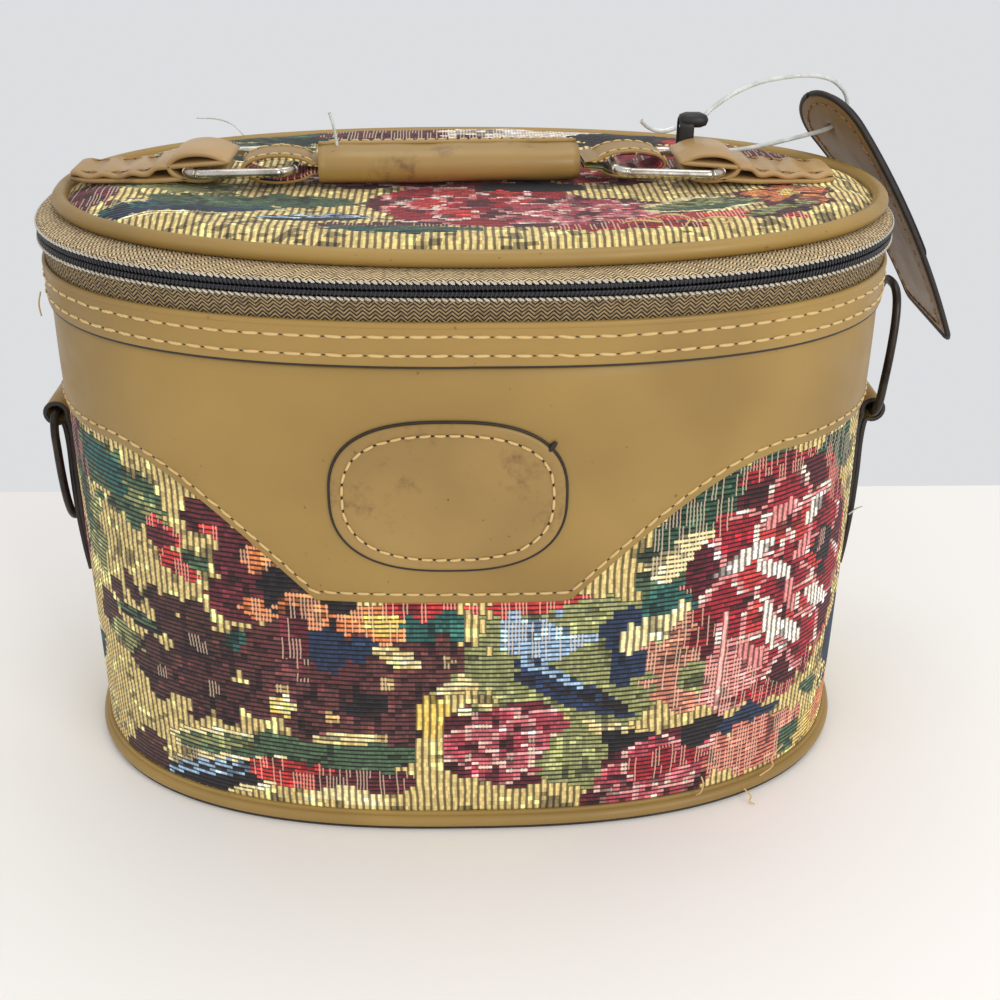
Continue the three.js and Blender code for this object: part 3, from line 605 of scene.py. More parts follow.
CREAM = (206, 182, 118)
CREAM_LIGHT = (232, 216, 158)
TAN = (178, 146, 92)
MAROON = (92, 34, 42)
BROWN = (78, 46, 42)
INK = (34, 28, 32)
RED = (152, 28, 42)
SCARLET = (192, 54, 52)
PINK = (216, 132, 128)
ROSE_WHITE = (238, 224, 210)
ORANGE = (214, 122, 70)
GOLD = (224, 190, 96)
GREEN = (74, 96, 70)
OLIVE = (140, 142, 92)
TEAL = (44, 92, 84)
NAVY = (36, 50, 78)
SKY = (150, 178, 204)
PLUM = (112, 62, 66)


def hashed(i, j, seed):
    value = np.sin(i * 127.1 + j * 311.7 + seed * 74.7) * 43758.5453
    return value - np.floor(value)


def wander(x, y, size, seed):
    """Smooth noise from -1 to 1 with features of the given size."""
    x, y = x / size, y / size
    i, j = np.floor(x), np.floor(y)
    fx, fy = x - i, y - j
    fx, fy = fx * fx * (3 - 2 * fx), fy * fy * (3 - 2 * fy)
    low = hashed(i, j, seed) * (1 - fx) + hashed(i + 1, j, seed) * fx
    high = hashed(i, j + 1, seed) * (1 - fx) + hashed(i + 1, j + 1, seed) * fx
    return 2 * (low * (1 - fy) + high * fy) - 1


class Canvas:
    """Woven cells at (x, y) millimetres with a yarn colour each and whether the rib stands upright."""

    def __init__(self, x, y):
        self.x, self.y = x, y
        self.rgb = np.tile(np.array(CREAM, float), (*x.shape, 1))
        self.upright = np.ones(x.shape)

    def dye(self, mask, colour, upright=0.0):
        self.rgb[mask] = colour
        self.upright[mask] = upright

    def local(self, cx, cy, turn):
        a = math.radians(turn)
        dx, dy = self.x - cx, self.y - cy
        return dx * math.cos(a) + dy * math.sin(a), dy * math.cos(a) - dx * math.sin(a)

    def blob(self, cx, cy, rx, ry, colour, turn=0, rag=0.22, upright=0.0, seed=1):
        p, q = self.local(cx, cy, turn)
        edge = 1 + rag * wander(self.x, self.y, 7, seed) + rag * 0.6 * wander(self.x, self.y, 3.2, seed + 5)
        self.dye(np.hypot(p / rx, q / ry) < edge, colour, upright)

    def leaf(self, cx, cy, length, width, turn, light, dark, edge=None, seed=2):
        p, q = self.local(cx, cy, turn)
        s = p / length + 0.5
        half = width * np.sin(np.pi * np.clip(s, 0, 1)) ** 0.8 * (1 + 0.18 * wander(self.x, self.y, 5, seed))
        body = (s > 0) & (s < 1)
        if edge:
            self.dye(body & (np.abs(q) < half + 2.2), edge, 0.3)
        self.dye(body & (np.abs(q) < half), light)
        veins = np.abs(np.mod(p + 1.3 * np.abs(q), 7) - 3.5) < 1.1
        self.dye(body & (q < 0) & (-q < half), dark)
        self.dye(body & (np.abs(q) < half) & veins, dark)
        self.dye(body & (np.abs(q) < 0.9) & (half > 1.5), light)

    def rose(self, cx, cy, rx, ry, tones, petals=5, turn=0, seed=3):
        """Overlapping petals: each ring of petals is rimmed with light yarn and parted by dark yarn."""
        p, q = self.local(cx, cy, turn)
        r = np.hypot(p / rx, q / ry) * (1 + 0.1 * wander(self.x, self.y, 9, seed))
        angle = np.arctan2(q / ry, p / rx)
        whole = r < 1 + 0.07 * np.cos(petals * angle)
        self.dye(whole, tones[0])
        for ring, (low, high) in enumerate(((0.66, 1.05), (0.38, 0.72), (0.14, 0.44))):
            lobe = np.abs(np.mod(angle * petals / (2 * np.pi) + 0.5 * ring, 1) - 0.5) * 2
            rim = low + (high - low) * (1 - 0.75 * lobe**1.6)
            inside = whole & (r < rim)
            self.dye(inside, tones[1 + ring % 2])
            self.dye(inside & (r > rim - 0.1), tones[3])
            self.dye(inside & (r > rim - 0.045) & (lobe < 0.7), tones[4], 0.4)
            self.dye(whole & (lobe > 0.93) & (r > low * 0.8) & (r < high), tones[0])
        self.dye(r < 0.13, tones[0])

    def flower(self, cx, cy, radius, petals, colour, rim, heart, turn=0, seed=4):
        p, q = self.local(cx, cy, turn)
        r = np.hypot(p, q) / radius * (1 + 0.12 * wander(self.x, self.y, 5, seed))
        angle = np.arctan2(q, p)
        shape = 0.5 + 0.5 * np.abs(np.cos(petals * angle / 2)) ** 0.7
        self.dye(r < shape, colour)
        self.dye((r < shape) & (r > shape - 0.16), rim)
        self.dye((r < 0.9 * shape) & (np.abs(np.sin(petals * angle / 2)) > 0.97), rim)
        self.dye(r < 0.2, heart, 0.5)

    def fleck(self, share, size, seed, change):
        """Strays of lighter or darker yarn scattered through the pattern."""
        spot = wander(self.x, self.y, size, seed) * 0.6 + wander(self.x, self.y, size * 0.4, seed + 1) * 0.6
        self.rgb[spot > share] = self.rgb[spot > share] * change
        self.rgb = np.clip(self.rgb, 0, 250)

    def colours(self):
        linear = np.where(self.rgb <= 10.3, self.rgb / 255 / 12.92, ((self.rgb / 255 + 0.055) / 1.055) ** 2.4)
        return np.concatenate([linear, self.upright[..., None]], -1)


ROSE_TONES = ((84, 18, 30), RED, SCARLET, PINK, ROSE_WHITE)
SMALL_TONES = ((84, 26, 36), (168, 66, 78), (196, 96, 104), (222, 150, 146), (232, 196, 178))


def weave_wall(x, z):
    """The pattern round the walls; it repeats once, so the back is like the front."""
    c = Canvas(np.mod(x + PERIMETER / 4, PERIMETER / 2) - PERIMETER / 4, z)
    c.dye(wander(x, z, 26, 11) + 0.5 * wander(x, z, 9, 12) > 0.62, (206, 180, 118), 1.0)
    # Left side: green sprigs and brown petals on the cream ground.
    c.blob(-150, 121, 12, 13, MAROON, 0, 0.3, 0.5, seed=21)
    c.blob(-119, 117, 20, 12, GREEN, -24, 0.35, seed=22)
    c.leaf(-112, 112, 34, 6, -24, OLIVE, GREEN, seed=23)
    c.blob(-128, 121, 12, 5, TEAL, -20, 0.4, seed=24)
    c.blob(-141, 96, 8, 17, OLIVE, 6, 0.35, seed=25)
    c.blob(-146, 104, 5, 12, GREEN, 6, 0.35, seed=26)
    patches = (
        (-100, 105, 8, 3.4, SCARLET), (-103, 103, 5, 3, MAROON), (-97, 95, 8, 3.4, SCARLET),
        (-90, 97, 5, 3, GREEN), (-84, 113, 9, 6, MAROON), (-80, 108, 7, 3, SCARLET),
        (-72, 99, 11, 10, MAROON), (-67, 101, 6, 6, ORANGE), (-73, 85, 12, 9, MAROON),
        (-67, 82, 8, 4.5, ORANGE), (-60, 92, 11, 7, INK), (-56, 86, 8, 5, BROWN),
    )
    for k, (px, pz, rx, ry, tone) in enumerate(patches):
        c.blob(px, pz, rx, ry, tone, -20, 0.35, 0.5 if tone in (SCARLET, ORANGE) else 0.0, seed=30 + k)
    petals = (
        (-127, 74, -50), (-118, 79, -60), (-108, 79, -72), (-103, 77, 40), (-134, 66, -35), (-137, 60, -20),
    )
    for k, (px, pz, turn) in enumerate(petals):
        c.blob(px, pz, 6.5, 3.4, BROWN, turn, 0.3, seed=44 + k)
    c.leaf(-117, 67, 28, 3.2, -6, GREEN, INK, seed=52)
    c.blob(-121, 55, 11, 6, OLIVE, -10, 0.4, seed=53)
    c.flower(-91, 65, 17, 5, BROWN, (58, 28, 32), BROWN, 12, seed=54)
    c.flower(-108, 50, 14, 5, BROWN, (58, 28, 32), BROWN, 40, seed=55)
    c.flower(-88, 49, 15, 6, (82, 44, 44), (52, 24, 30), BROWN, 0, seed=56)
    c.blob(-74, 69, 7, 3.6, TEAL, -15, 0.4, seed=57)
    # Middle: a dark mass of brown flowers under an orange and blue fringe.
    c.blob(-40, 54, 35, 25, (88, 48, 48), 0, 0.2, seed=60)
    c.blob(-42, 66, 32, 12, (92, 46, 46), -6, 0.3, seed=61)
    c.blob(-52, 83, 11, 7, ORANGE, -10, 0.4, 0.5, seed=62)
    c.blob(-57, 72, 5, 14, MAROON, 0, 0.3, 0.5, seed=63)
    c.blob(-42, 86, 5, 9, INK, 0, 0.3, seed=64)
    c.blob(-30, 80, 14, 7, ORANGE, 0, 0.4, 0.5, seed=65)
    c.blob(-27, 81, 7, 4, GOLD, 0, 0.4, 0.5, seed=66)
    c.blob(-14, 86, 13, 4, SCARLET, 0, 0.4, 0.5, seed=67)
    c.blob(-48, 70, 6, 8, NAVY, 0, 0.35, seed=68)
    c.blob(-33, 69, 9, 5, NAVY, -20, 0.3, seed=69)
    c.blob(-10, 78, 12, 6, TEAL, 0, 0.4, seed=70)
    heads = ((-62, 54, 11), (-46, 44, 13), (-27, 58, 13), (-30, 36, 13), (-8, 66, 11))
    for k, (px, pz, r) in enumerate(heads):
        c.flower(px, pz, r, 5 + k % 2, (98, 54, 52), (58, 30, 34), TAN, 25 * k, seed=71 + k)
    c.blob(-37, 49, 9, 4, INK, 10, 0.35, seed=76)
    c.leaf(-24, 68, 20, 3.4, -24, CREAM_LIGHT, CREAM, seed=77)
    c.flower(-62, 47, 5, 5, CREAM_LIGHT, GOLD, GOLD, 0, seed=78)
    c.blob(-13, 45, 7, 8, GOLD, 0, 0.2, 1.0, seed=79)
    c.leaf(-3, 58, 24, 3.6, 22, CREAM_LIGHT, CREAM, seed=80)
    c.leaf(6, 48, 24, 3, 8, CREAM_LIGHT, CREAM, seed=81)
    # Foot of the left half: sweeping olive and blue leaves between cream lines.
    c.leaf(-82, 27, 50, 4.5, 8, OLIVE, GREEN, CREAM_LIGHT, seed=82)
    c.leaf(-88, 14, 54, 6, 15, SKY, INK, CREAM_LIGHT, seed=83)
    c.blob(-122, 11, 11, 8, BROWN, 30, 0.35, seed=84)
    c.blob(-44, 29, 28, 7, GREEN, 0, 0.35, seed=85)
    c.leaf(-42, 36, 26, 2.6, 4, CREAM_LIGHT, CREAM, seed=86)
    c.blob(-60, 20, 15, 6, SCARLET, 0, 0.35, 0.5, seed=87)
    c.blob(-34, 18, 16, 5, MAROON, 0, 0.35, 0.5, seed=88)
    c.blob(-42, 12, 16, 3, CREAM_LIGHT, 0, 0.4, 1.0, seed=89)
    # Right half: olive and navy leaves, then the large rose.
    c.blob(34, 62, 36, 26, OLIVE, -14, 0.16, seed=90)
    c.blob(19, 87, 18, 4, SCARLET, 0, 0.4, 0.5, seed=91)
    c.blob(24, 75, 17, 9, SKY, -8, 0.3, 0.5, seed=92)
    c.blob(44, 82, 16, 7, (150, 152, 100), 0, 0.3, seed=93)
    c.blob(51, 68, 9, 15, NAVY, 6, 0.3, 0.0, seed=94)
    c.leaf(34, 52, 46, 5, -24, INK, NAVY, seed=95)
    c.leaf(26, 60, 30, 4, -30, SKY, NAVY, seed=96)
    c.leaf(38, 39, 44, 3, -8, CREAM_LIGHT, CREAM, seed=97)
    c.blob(68, 96, 17, 12, GREEN, 30, 0.3, seed=98)
    c.blob(84, 118, 26, 11, (44, 78, 58), 26, 0.25, 0.5, seed=99)
    c.blob(66, 101, 11, 6, CREAM_LIGHT, 25, 0.3, 0.5, seed=100)
    c.blob(66, 84, 11, 8, TEAL, 0, 0.3, seed=101)
    c.blob(60, 76, 12, 6, CREAM_LIGHT, 30, 0.4, 1.0, seed=102)
    c.blob(132, 124, 14, 9, (40, 74, 54), 0, 0.3, 0.5, seed=103)
    c.blob(73, 60, 16, 18, (190, 122, 98), 0, 0.22, 0.5, seed=104)
    c.blob(76, 55, 6, 6, OLIVE, 0, 0.3, seed=105)
    c.blob(107, 83, 37, 47, (150, 28, 38), 0, 0.1, 0.5, seed=106)
    c.rose(108, 84, 34, 42, ROSE_TONES, 7, 15, seed=107)
    c.blob(88, 52, 13, 15, PINK, 10, 0.25, 0.5, seed=108)
    crescents = (
        (103, 109, 14, 20), (90, 96, 19, 22), (104, 87, 18, -24), (115, 93, 9, 60), (101, 69, 19, -72),
        (112, 62, 17, -40), (110, 77, 12, -60), (126, 71, 17, -32), (120, 106, 12, 40), (96, 58, 14, -50),
    )
    for k, (px, pz, length, turn) in enumerate(crescents):
        c.blob(px, pz, length * 0.5, 3.1, ROSE_WHITE if k % 3 else PINK, turn, 0.3, 1.0, seed=110 + k)
    c.blob(128, 90, 7, 9, INK, 10, 0.3, seed=121)
    c.blob(126, 92, 3, 4, PLUM, 10, 0.3, 0.5, seed=122)
    c.dye((np.abs(c.x - 83) < CELL_U / 2) & (c.y > 20) & (c.y < 78), (238, 170, 160), 1.0)
    c.rose(12, 33, 22, 17, SMALL_TONES, 5, 0, seed=123)
    c.blob(36, 26, 14, 13, OLIVE, 0, 0.3, seed=124)
    c.blob(52, 33, 12, 4, INK, 0, 0.35, seed=125)
    c.rose(64, 18, 25, 15, SMALL_TONES, 6, 20, seed=126)
    c.blob(66, 22, 13, 5, RED, 0, 0.35, 0.5, seed=127)
    c.blob(98, 32, 13, 4.5, NAVY, 0, 0.4, seed=128)
    c.blob(78, 31, 8, 5, INK, 0, 0.35, seed=129)
    c.blob(104, 19, 20, 11, (206, 118, 100), 0, 0.3, 0.5, seed=130)
    c.blob(121, 13, 7, 6, GREEN, 0, 0.35, seed=131)
    c.blob(131, 31, 6, 5, GREEN, 0, 0.35, seed=132)
    c.blob(134, 13, 12, 8, GOLD, 0, 0.4, 0.5, seed=133)
    c.blob(152, 42, 11, 22, NAVY, 0, 0.3, seed=134)
    c.blob(150, 16, 12, 7, ORANGE, 0, 0.4, 0.5, seed=135)
    c.leaf(160, 104, 44, 7, 80, CREAM_LIGHT, GREEN, seed=136)
    c.flower(172, 60, 20, 5, SCARLET, MAROON, GOLD, 0, seed=137)
    c.rose(-172, 84, 20, 24, SMALL_TONES, 5, 0, seed=138)
    c.leaf(-160, 36, 36, 7, 35, TEAL, NAVY, CREAM_LIGHT, seed=139)
    c.fleck(0.42, 6.5, 141, 0.62)
    c.fleck(0.46, 5.5, 151, 1.35)
    return c.colours()


def weave_lid(x, y):
    """The pattern of the lid's top."""
    c = Canvas(x, y)
    c.dye(wander(x, y, 24, 201) + 0.5 * wander(x, y, 8, 202) > 0.5, (204, 178, 118), 1.0)
    c.blob(-122, -22, 10, 16, MAROON, 0, 0.3, 0.5, seed=210)
    c.leaf(-88, -40, 62, 8, 4, TEAL, NAVY, CREAM_LIGHT, seed=211)
    c.blob(-70, -30, 34, 9, GREEN, 0, 0.35, seed=212)
    c.leaf(-48, -50, 40, 5, 8, SKY, INK, seed=213)
    c.blob(-96, -12, 22, 9, OLIVE, 0, 0.35, seed=214)
    c.flower(-106, 14, 18, 5, BROWN, (58, 28, 32), OLIVE, 10, seed=215)
    c.leaf(-84, 40, 60, 12, 12, GREEN, (30, 48, 38), CREAM_LIGHT, seed=216)
    c.leaf(-60, 62, 70, 12, 8, (60, 96, 66), (32, 50, 40), OLIVE, seed=217)
    c.blob(-20, 66, 40, 12, MAROON, 4, 0.26, 0.5, seed=218)
    c.blob(26, 70, 34, 9, ROSE_WHITE, 0, 0.3, 0.5, seed=219)
    c.blob(58, 60, 22, 10, INK, 0, 0.3, seed=220)
    c.rose(4, -30, 36, 34, ROSE_TONES, 6, 0, seed=221)
    c.rose(38, -44, 30, 20, SMALL_TONES, 6, 0, seed=222)
    c.blob(-26, -62, 26, 5, MAROON, 0, 0.35, 0.5, seed=223)
    c.rose(-20, 20, 40, 24, ROSE_TONES, 5, 40, seed=224)
    c.rose(44, 22, 32, 26, ROSE_TONES, 5, 0, seed=225)
    c.blob(22, -8, 18, 6, INK, 0, 0.35, seed=226)
    c.leaf(76, -34, 44, 8, 14, OLIVE, GREEN, CREAM_LIGHT, seed=227)
    c.blob(74, -52, 26, 5, SCARLET, 10, 0.4, 0.5, seed=228)
    c.flower(104, -24, 16, 5, ORANGE, MAROON, GOLD, 20, seed=229)
    c.blob(90, 34, 28, 16, MAROON, 0, 0.3, 0.5, seed=230)
    c.flower(84, 44, 18, 6, SCARLET, MAROON, GOLD, 0, seed=231)
    c.leaf(114, 14, 40, 7, 70, GREEN, INK, seed=232)
    c.leaf(-20, -66, 50, 5, -4, GREEN, TEAL, seed=233)
    c.blob(46, -64, 22, 5, RED, 6, 0.35, 0.5, seed=234)
    c.leaf(98, -44, 34, 5, 34, OLIVE, BROWN, seed=235)
    c.fleck(0.4, 6.5, 241, 0.6)
    c.fleck(0.46, 5.5, 251, 1.3)
    return c.colours()


# ---- Materials ----------------------------------------------------------------------------------

VINYL = vinyl_material("vinyl", (163, 131, 66), (140, 109, 52), 0.2)
VINYL_WORN = vinyl_material("vinyl_worn", (164, 131, 70), (132, 100, 52), 0.6, 0.38)
VINYL_STAINED = vinyl_material("vinyl_stained", (166, 134, 74), (140, 110, 56), 0.95, 0.4)
VINYL_AGED = vinyl_material("vinyl_aged", (196, 160, 104), (150, 114, 68), 0.9, 0.36)
VINYL_TAG = vinyl_material("vinyl_tag", (140, 112, 72), (104, 80, 50), 0.7, 0.45)
# Dark edge paint for the tab, badge and tag edges; the same material makes the painted shadow rings under the
# zip band and round the foot of the base.
EDGE_PAINT_AND_SHADOW = mottled("edge_paint_and_shadow", (40, 30, 24), (24, 18, 16), 200, 0.5)
TAPESTRY = tapestry_material()
TAPE = tape_material("zip_tape", (44, 32, 20), (232, 204, 156))
# A darker copy of the tape for the lower tape: painted shade, as that tape faces downward.
TAPE_LOWER_SHADED = tape_material("zip_tape_lower_shaded", (20, 14, 10), (158, 134, 94))
COIL = mottled("coil_nylon", (40, 40, 46), (22, 22, 26), 300, 0.32, 0.1)
CHAIN = thread_material("chain_thread", (226, 220, 206), (150, 142, 128))
THREAD = thread_material("cream_thread", (236, 208, 148), (188, 152, 92))
DULL_THREAD = thread_material("tan_thread", (186, 140, 84), (128, 92, 54))
BRIGHT = metal_material("bright_wire", (214, 208, 198), (150, 138, 120), 0.2)
GUNMETAL = metal_material("gunmetal", (62, 56, 52), (34, 28, 24), 0.34, 0.85)
LINING = plain_cloth("lining", (196, 178, 142), (150, 132, 98))
POCKET = plain_cloth("pocket_cloth", (188, 168, 130), (140, 120, 86), 0.8)
BLACK = mottled("black_leather", (34, 32, 32), (16, 15, 15), 150, 0.5)
NYLON = nylon_material()
BOARD = mottled("fibre_board", (150, 126, 88), (112, 92, 62), 80, 0.85)
# Dark residue for the badge's glue speck; the same material makes the dark beads in the needle holes between
# stitches, painted shade.
DARK_RESIDUE_AND_HOLE_SHADE = mottled("dark_residue_and_hole_shade", (36, 26, 20), (20, 14, 12), 400, 0.6)

# ---- Case ---------------------------------------------------------------------------------------

BIB_CENTRE = -9.0
BIB_FLAT = 40.0
BIB_RUN = 72.0
BIB_LOW = 88.5
BIB_RISE = 44.0
YOKE_TOP = 169.5
BASE_PIPE_Z = 3.0


def bib_edge(arc):
    """Height of the yoke's lower edge, the same at the front and the back."""
    s = np.mod(arc, PERIMETER)
    front = np.where(s > PERIMETER / 2, s - PERIMETER, s)
    nearest = np.where(np.abs(front) < PERIMETER / 4, front, PERIMETER / 2 - s)
    climb = np.clip((np.abs(nearest - BIB_CENTRE) - BIB_FLAT) / BIB_RUN, 0, 1)
    return BIB_LOW + BIB_RISE * np.sin(climb * math.pi / 2)


def yarn_layer(obj, corner_colours):
    layer = obj.data.attributes.new("yarn", "FLOAT_COLOR", "CORNER")
    layer.data.foreach_set("color", np.asarray(corner_colours, np.float32).ravel())


def section_rings(arcs, section, shape=BODY):
    """Rings round an outline from rows of (offset, z); a third item puts a row's points on the lid's."""
    rows = []
    for offset, z, *on_lid in section:
        rows.append(across_from(arcs, offset, z) if on_lid else wall_point(arcs, offset, z, shape))
    return np.stack(rows, 1)


def ring_strip(name, section, material, step=4.0, wobble=None, shape=BODY, reach=None):
    """A band round an outline. With reach it is open at the back."""
    if reach is None:
        arcs = np.linspace(0, PERIMETER, int(PERIMETER / step), endpoint=False)
    else:
        arcs = np.linspace(-reach, reach, int(2 * reach / step))
    rings = section_rings(arcs, section, shape)
    if wobble:
        rings[..., 2] += wobble * wander(arcs, arcs * 0, 34, 7)[:, None]
    u = np.append(arcs, arcs[0] + PERIMETER)
    return loft(name, rings, material, reach is None, u)


def rounded_section(low, high, inner, outer, radius, steps=3):
    box = rounded_box((outer - inner) / 2, (high - low) / 2, radius, steps)
    return [(x + (inner + outer) / 2, y + (low + high) / 2) for x, y in box]


def add_tapestry_wall():
    rows = 78
    low = 5.0
    high, inner, outer = low + rows * CELL_V, -1.2, 0.15
    columns = int(round(PERIMETER / CELL_U / 2)) * 2
    arcs = np.linspace(0, PERIMETER, columns, endpoint=False)
    heights = np.linspace(low, high, 2 * rows + 1)
    rib = 0.2 * np.abs(np.sin(np.arange(2 * rows + 1) * math.pi / 2))
    grid_arc, grid_z = np.meshgrid(arcs, heights, indexing="ij")
    seam = np.minimum(grid_arc, PERIMETER - grid_arc)
    calm = np.clip(seam / 25, 0, 1) * np.sin(np.pi * (grid_z - low) / (high - low)) ** 0.4
    sway = 1.1 * wander(grid_arc, grid_z, 24, 15) * calm
    lift = 0.9 * wander(grid_arc, grid_z, 30, 16) * calm
    bulge = 0.5 * np.sin(np.pi * (grid_z - low) / (high - low)) + 0.25 * wander(grid_arc, grid_z, 30, 6)
    skin = wall_point(grid_arc + sway, 0, grid_z + lift)
    normal = unit(wall_point(grid_arc + sway, 1, grid_z + lift) - skin)
    front = skin + normal * (outer + rib[None] + bulge)[..., None]
    back = skin[:, [-1, 0]] + normal[:, [-1, 0]] * inner
    rings = np.concatenate([front, back], 1)
    u = np.arange(columns + 1) * CELL_U
    v = np.concatenate([heights - low, [high, low, low]])
    made = loft("tapestry_cover", rings, TAPESTRY, True, u, v)
    cell_arc = np.repeat((np.arange(columns) + 0.5) * PERIMETER / columns, rings.shape[1])
    cell_z = np.tile(np.clip(np.arange(rings.shape[1]) // 2, 0, rows - 1), columns) * CELL_V + low + CELL_V / 2
    yarn_layer(made, np.repeat(weave_wall(cell_arc, cell_z), 4, axis=0))
    finish_piece(made, "case", ["tapestry_wall"])


def add_case_vinyl():
    arcs = np.linspace(0, PERIMETER, 264, endpoint=False)
    low = bib_edge(arcs)
    edge_rise = 1.1
    rows = [(0.35, low), (0.9, low - 0.1), (1.3, low + 0.35), (1.5, low + edge_rise)]
    for share in np.linspace(0.12, 1, 9):
        swell = 1.45 + 0.2 * math.sin(math.pi * share)
        rows.append((swell, low + edge_rise + (YOKE_TOP - low - edge_rise) * share))
    rows.append((0.3, YOKE_TOP))
    yoke = loft("yoke", section_rings(arcs, rows), VINYL, True)
    finish_piece(yoke, "case", ["vinyl_yoke"])
    edge = wall_point(arcs, 1.55, low + 3.4)
    normals = unit(edge - wall_point(arcs, 0.55, low + 3.4))
    sew("case", "yoke_stitches", edge, normals, 5.2, THREAD, 0.48, closed=True)
    waver = 0.12
    band = rounded_section(168.0, 180.2, 1.45, 2.75, 0.6)
    # A thin dark ring just under the band's lower edge: painted shadow where the band meets the yoke.
    painted = rounded_section(167.35, 168.3, 1.4, 2.45, 0.3)
    fold = rounded_section(179.3, 181.4, 1.3, 3.0, 0.85, 4)
    finish_piece(ring_strip("zip_band", band, VINYL, wobble=waver), "case", ["top_band"])
    finish_piece(ring_strip("band_edge_shadow", painted, EDGE_PAINT_AND_SHADOW, wobble=waver), "case")
    finish_piece(ring_strip("band_fold", fold, VINYL, wobble=waver), "case")
    for k, z in enumerate((177.0, 171.3)):
        line = wall_point(arcs, 2.75, z)
        line[:, 2] += 0.3 * wander(arcs, arcs * 0, 40, 8 + k)
        out = unit(line - wall_point(arcs, 1.75, line[:, 2]))
        sew("case", f"band_stitches_{k}", line, out, 6.1, THREAD, 0.52, closed=True)
    piping = ring_strip("base_piping", [(0.9 + x, BASE_PIPE_Z + y) for x, y in circle(2.3, 12)], VINYL)
    lip = ring_strip("base_lip", rounded_section(4.4, 6.6, -0.2, 1.4, 0.6), VINYL)
    # A thin dark ring round the foot of the base piping: painted contact shadow where the case meets the
    # floor.
    cord = ring_strip("base_shadow_edge", rounded_section(0.15, 0.95, -1.2, 2.2, 0.3), EDGE_PAINT_AND_SHADOW)
    finish_piece(piping, "case", ["bottom_piping"])
    finish_piece(lip, "case")
    finish_piece(cord, "case")


OVAL_HALF_WIDTH, OVAL_HALF_HEIGHT, OVAL_POWER = 35.5, 24.5, 2.6
OVAL_ARC, OVAL_Z = -7.0, 125.7


def oval(angle, shrink):
    """The patch outline: a flattened superellipse, shrunk inwards by some millimetres."""
    c, s = np.cos(angle), np.sin(angle)
    across = np.sign(c) * (OVAL_HALF_WIDTH - shrink) * np.abs(c) ** (2 / OVAL_POWER)
    return across, np.sign(s) * (OVAL_HALF_HEIGHT - shrink) * np.abs(s) ** (2 / OVAL_POWER)


def on_patch(angle, shrink, offset, scale=1.0):
    """Points of the patch outline, laid on the wall at an offset."""
    x, z = oval(angle, shrink)
    return wall_point(OVAL_ARC + x * scale, offset, OVAL_Z + z * scale)


def add_oval_patch():
    angle = np.linspace(0, 2 * math.pi, 120, endpoint=False)
    profile = [(0, 1.6, 0.01), (0, 1.6, 0.5), (0.4, 1.6, 1), (0.0, 1.8, 1), (0.0, 2.4, 1)]
    profile += [(0.35, 2.85, 1), (1.2, 3.0, 1), (2.6, 2.9, 1), (3.7, 2.65, 1), (4.8, 2.9, 1), (8.0, 3.0, 1)]
    profile += [(8.0, 3.05, scale) for scale in (0.8, 0.6, 0.4, 0.2, 0.08, 0.01)]
    rings = [on_patch(angle, shrink, offset, scale) for shrink, offset, scale in profile]
    made = loft("oval_badge", np.stack(rings, 0), VINYL_STAINED)
    finish_piece(made, "case", ["oval_patch"])
    edge = sweep("badge_edge", on_patch(angle, -0.35, 1.95), circle(0.5, 8), -ACROSS, EDGE_PAINT_AND_SHADOW, True)
    finish_piece(edge, "case")
    path = on_patch(angle, 3.7, 2.95)
    out = unit(path - on_patch(angle, 3.7, 1.9))
    sew("case", "badge_stitches", path, out, 4.4, THREAD, 0.46, closed=True)
    smear = on_patch(np.array([0.62]), -0.6, 2.4)
    lean = np.array([[0.6, 0, 0.8]])
    blot = beads("badge_glue_speck", smear, lean, -ACROSS[None], DARK_RESIDUE_AND_HOLE_SHADE, 2.3, 0.9)
    finish_piece(blot, "case")


HINGE_HALF = 77.5
ZIP_REACH = PERIMETER / 2 - HINGE_HALF - 0.5
TURN_PITCH, CHAIN_PITCH = 1.25, 1.95


def add_zip():
    """Both tapes, both coils with their turns, and the pale chain stitch beside each coil."""
    lower = [(0.4, 170.0), (1.3, 170.0), (1.35, 180.6), (2.0, 184.5), (2.85, 187.2)]
    lower += [(2.95, 188.6), (1.9, 188.6), (1.0, 184.8), (0.4, 181.2)]
    # The lower tape takes the darker copy of the tape: painted shade.
    made = ring_strip("lower_tape", lower, TAPE_LOWER_SHADED, reach=ZIP_REACH)
    finish_piece(made, "case", ["zipper_tape_lower"])
    upper = [(2.95, 193.2), (2.95, 193.8), (1.5, 194.2)]
    upper += [(0.4, 194.5, LID), (-2.2, 194.6, LID), (-2.2, 193.4, LID), (1.2, 193.2)]
    made = ring_strip("upper_tape", upper, TAPE, reach=ZIP_REACH)
    finish_piece(made, "lid", ["zipper_tape_upper"])
    arcs = np.arange(-ZIP_REACH + 1, ZIP_REACH - 1, TURN_PITCH)
    steps = np.arange(-ZIP_REACH + 1, ZIP_REACH - 1, CHAIN_PITCH)
    halves = (("case", 189.8, 1, "zipper_coil_lower"), ("lid", 191.85, -1, "zipper_coil_upper"))
    for body, z, lean, node in halves:
        half = rounded_section(z - 0.75, z + 0.75, 1.6, 2.9, 0.5)
        core = ring_strip(f"{body}_coil_core", half, COIL, 5.0, reach=ZIP_REACH)
        place = wall_point(arcs, 2.95, z)
        out = unit(place - wall_point(arcs, 1.95, z))
        along = np.broadcast_to(UP, place.shape) + 0.35 * lean * unit(np.cross(UP, out))
        turns = beads(f"{body}_coil_turns", place, along, out, COIL, 0.9, 0.4, 1.0)
        chain_z = z - 1.42 * lean
        spots = wall_point(steps, 3.2, chain_z)
        away = unit(spots - wall_point(steps, 2.2, chain_z))
        links = beads(f"{body}_chain", spots, np.cross(UP, away), away, CHAIN, 0.95, 0.4, 0.8, 0.15, 0.42)
        finish_piece(join(f"{body}_coil", [core, turns]), body, [node])
        finish_piece(links, body)


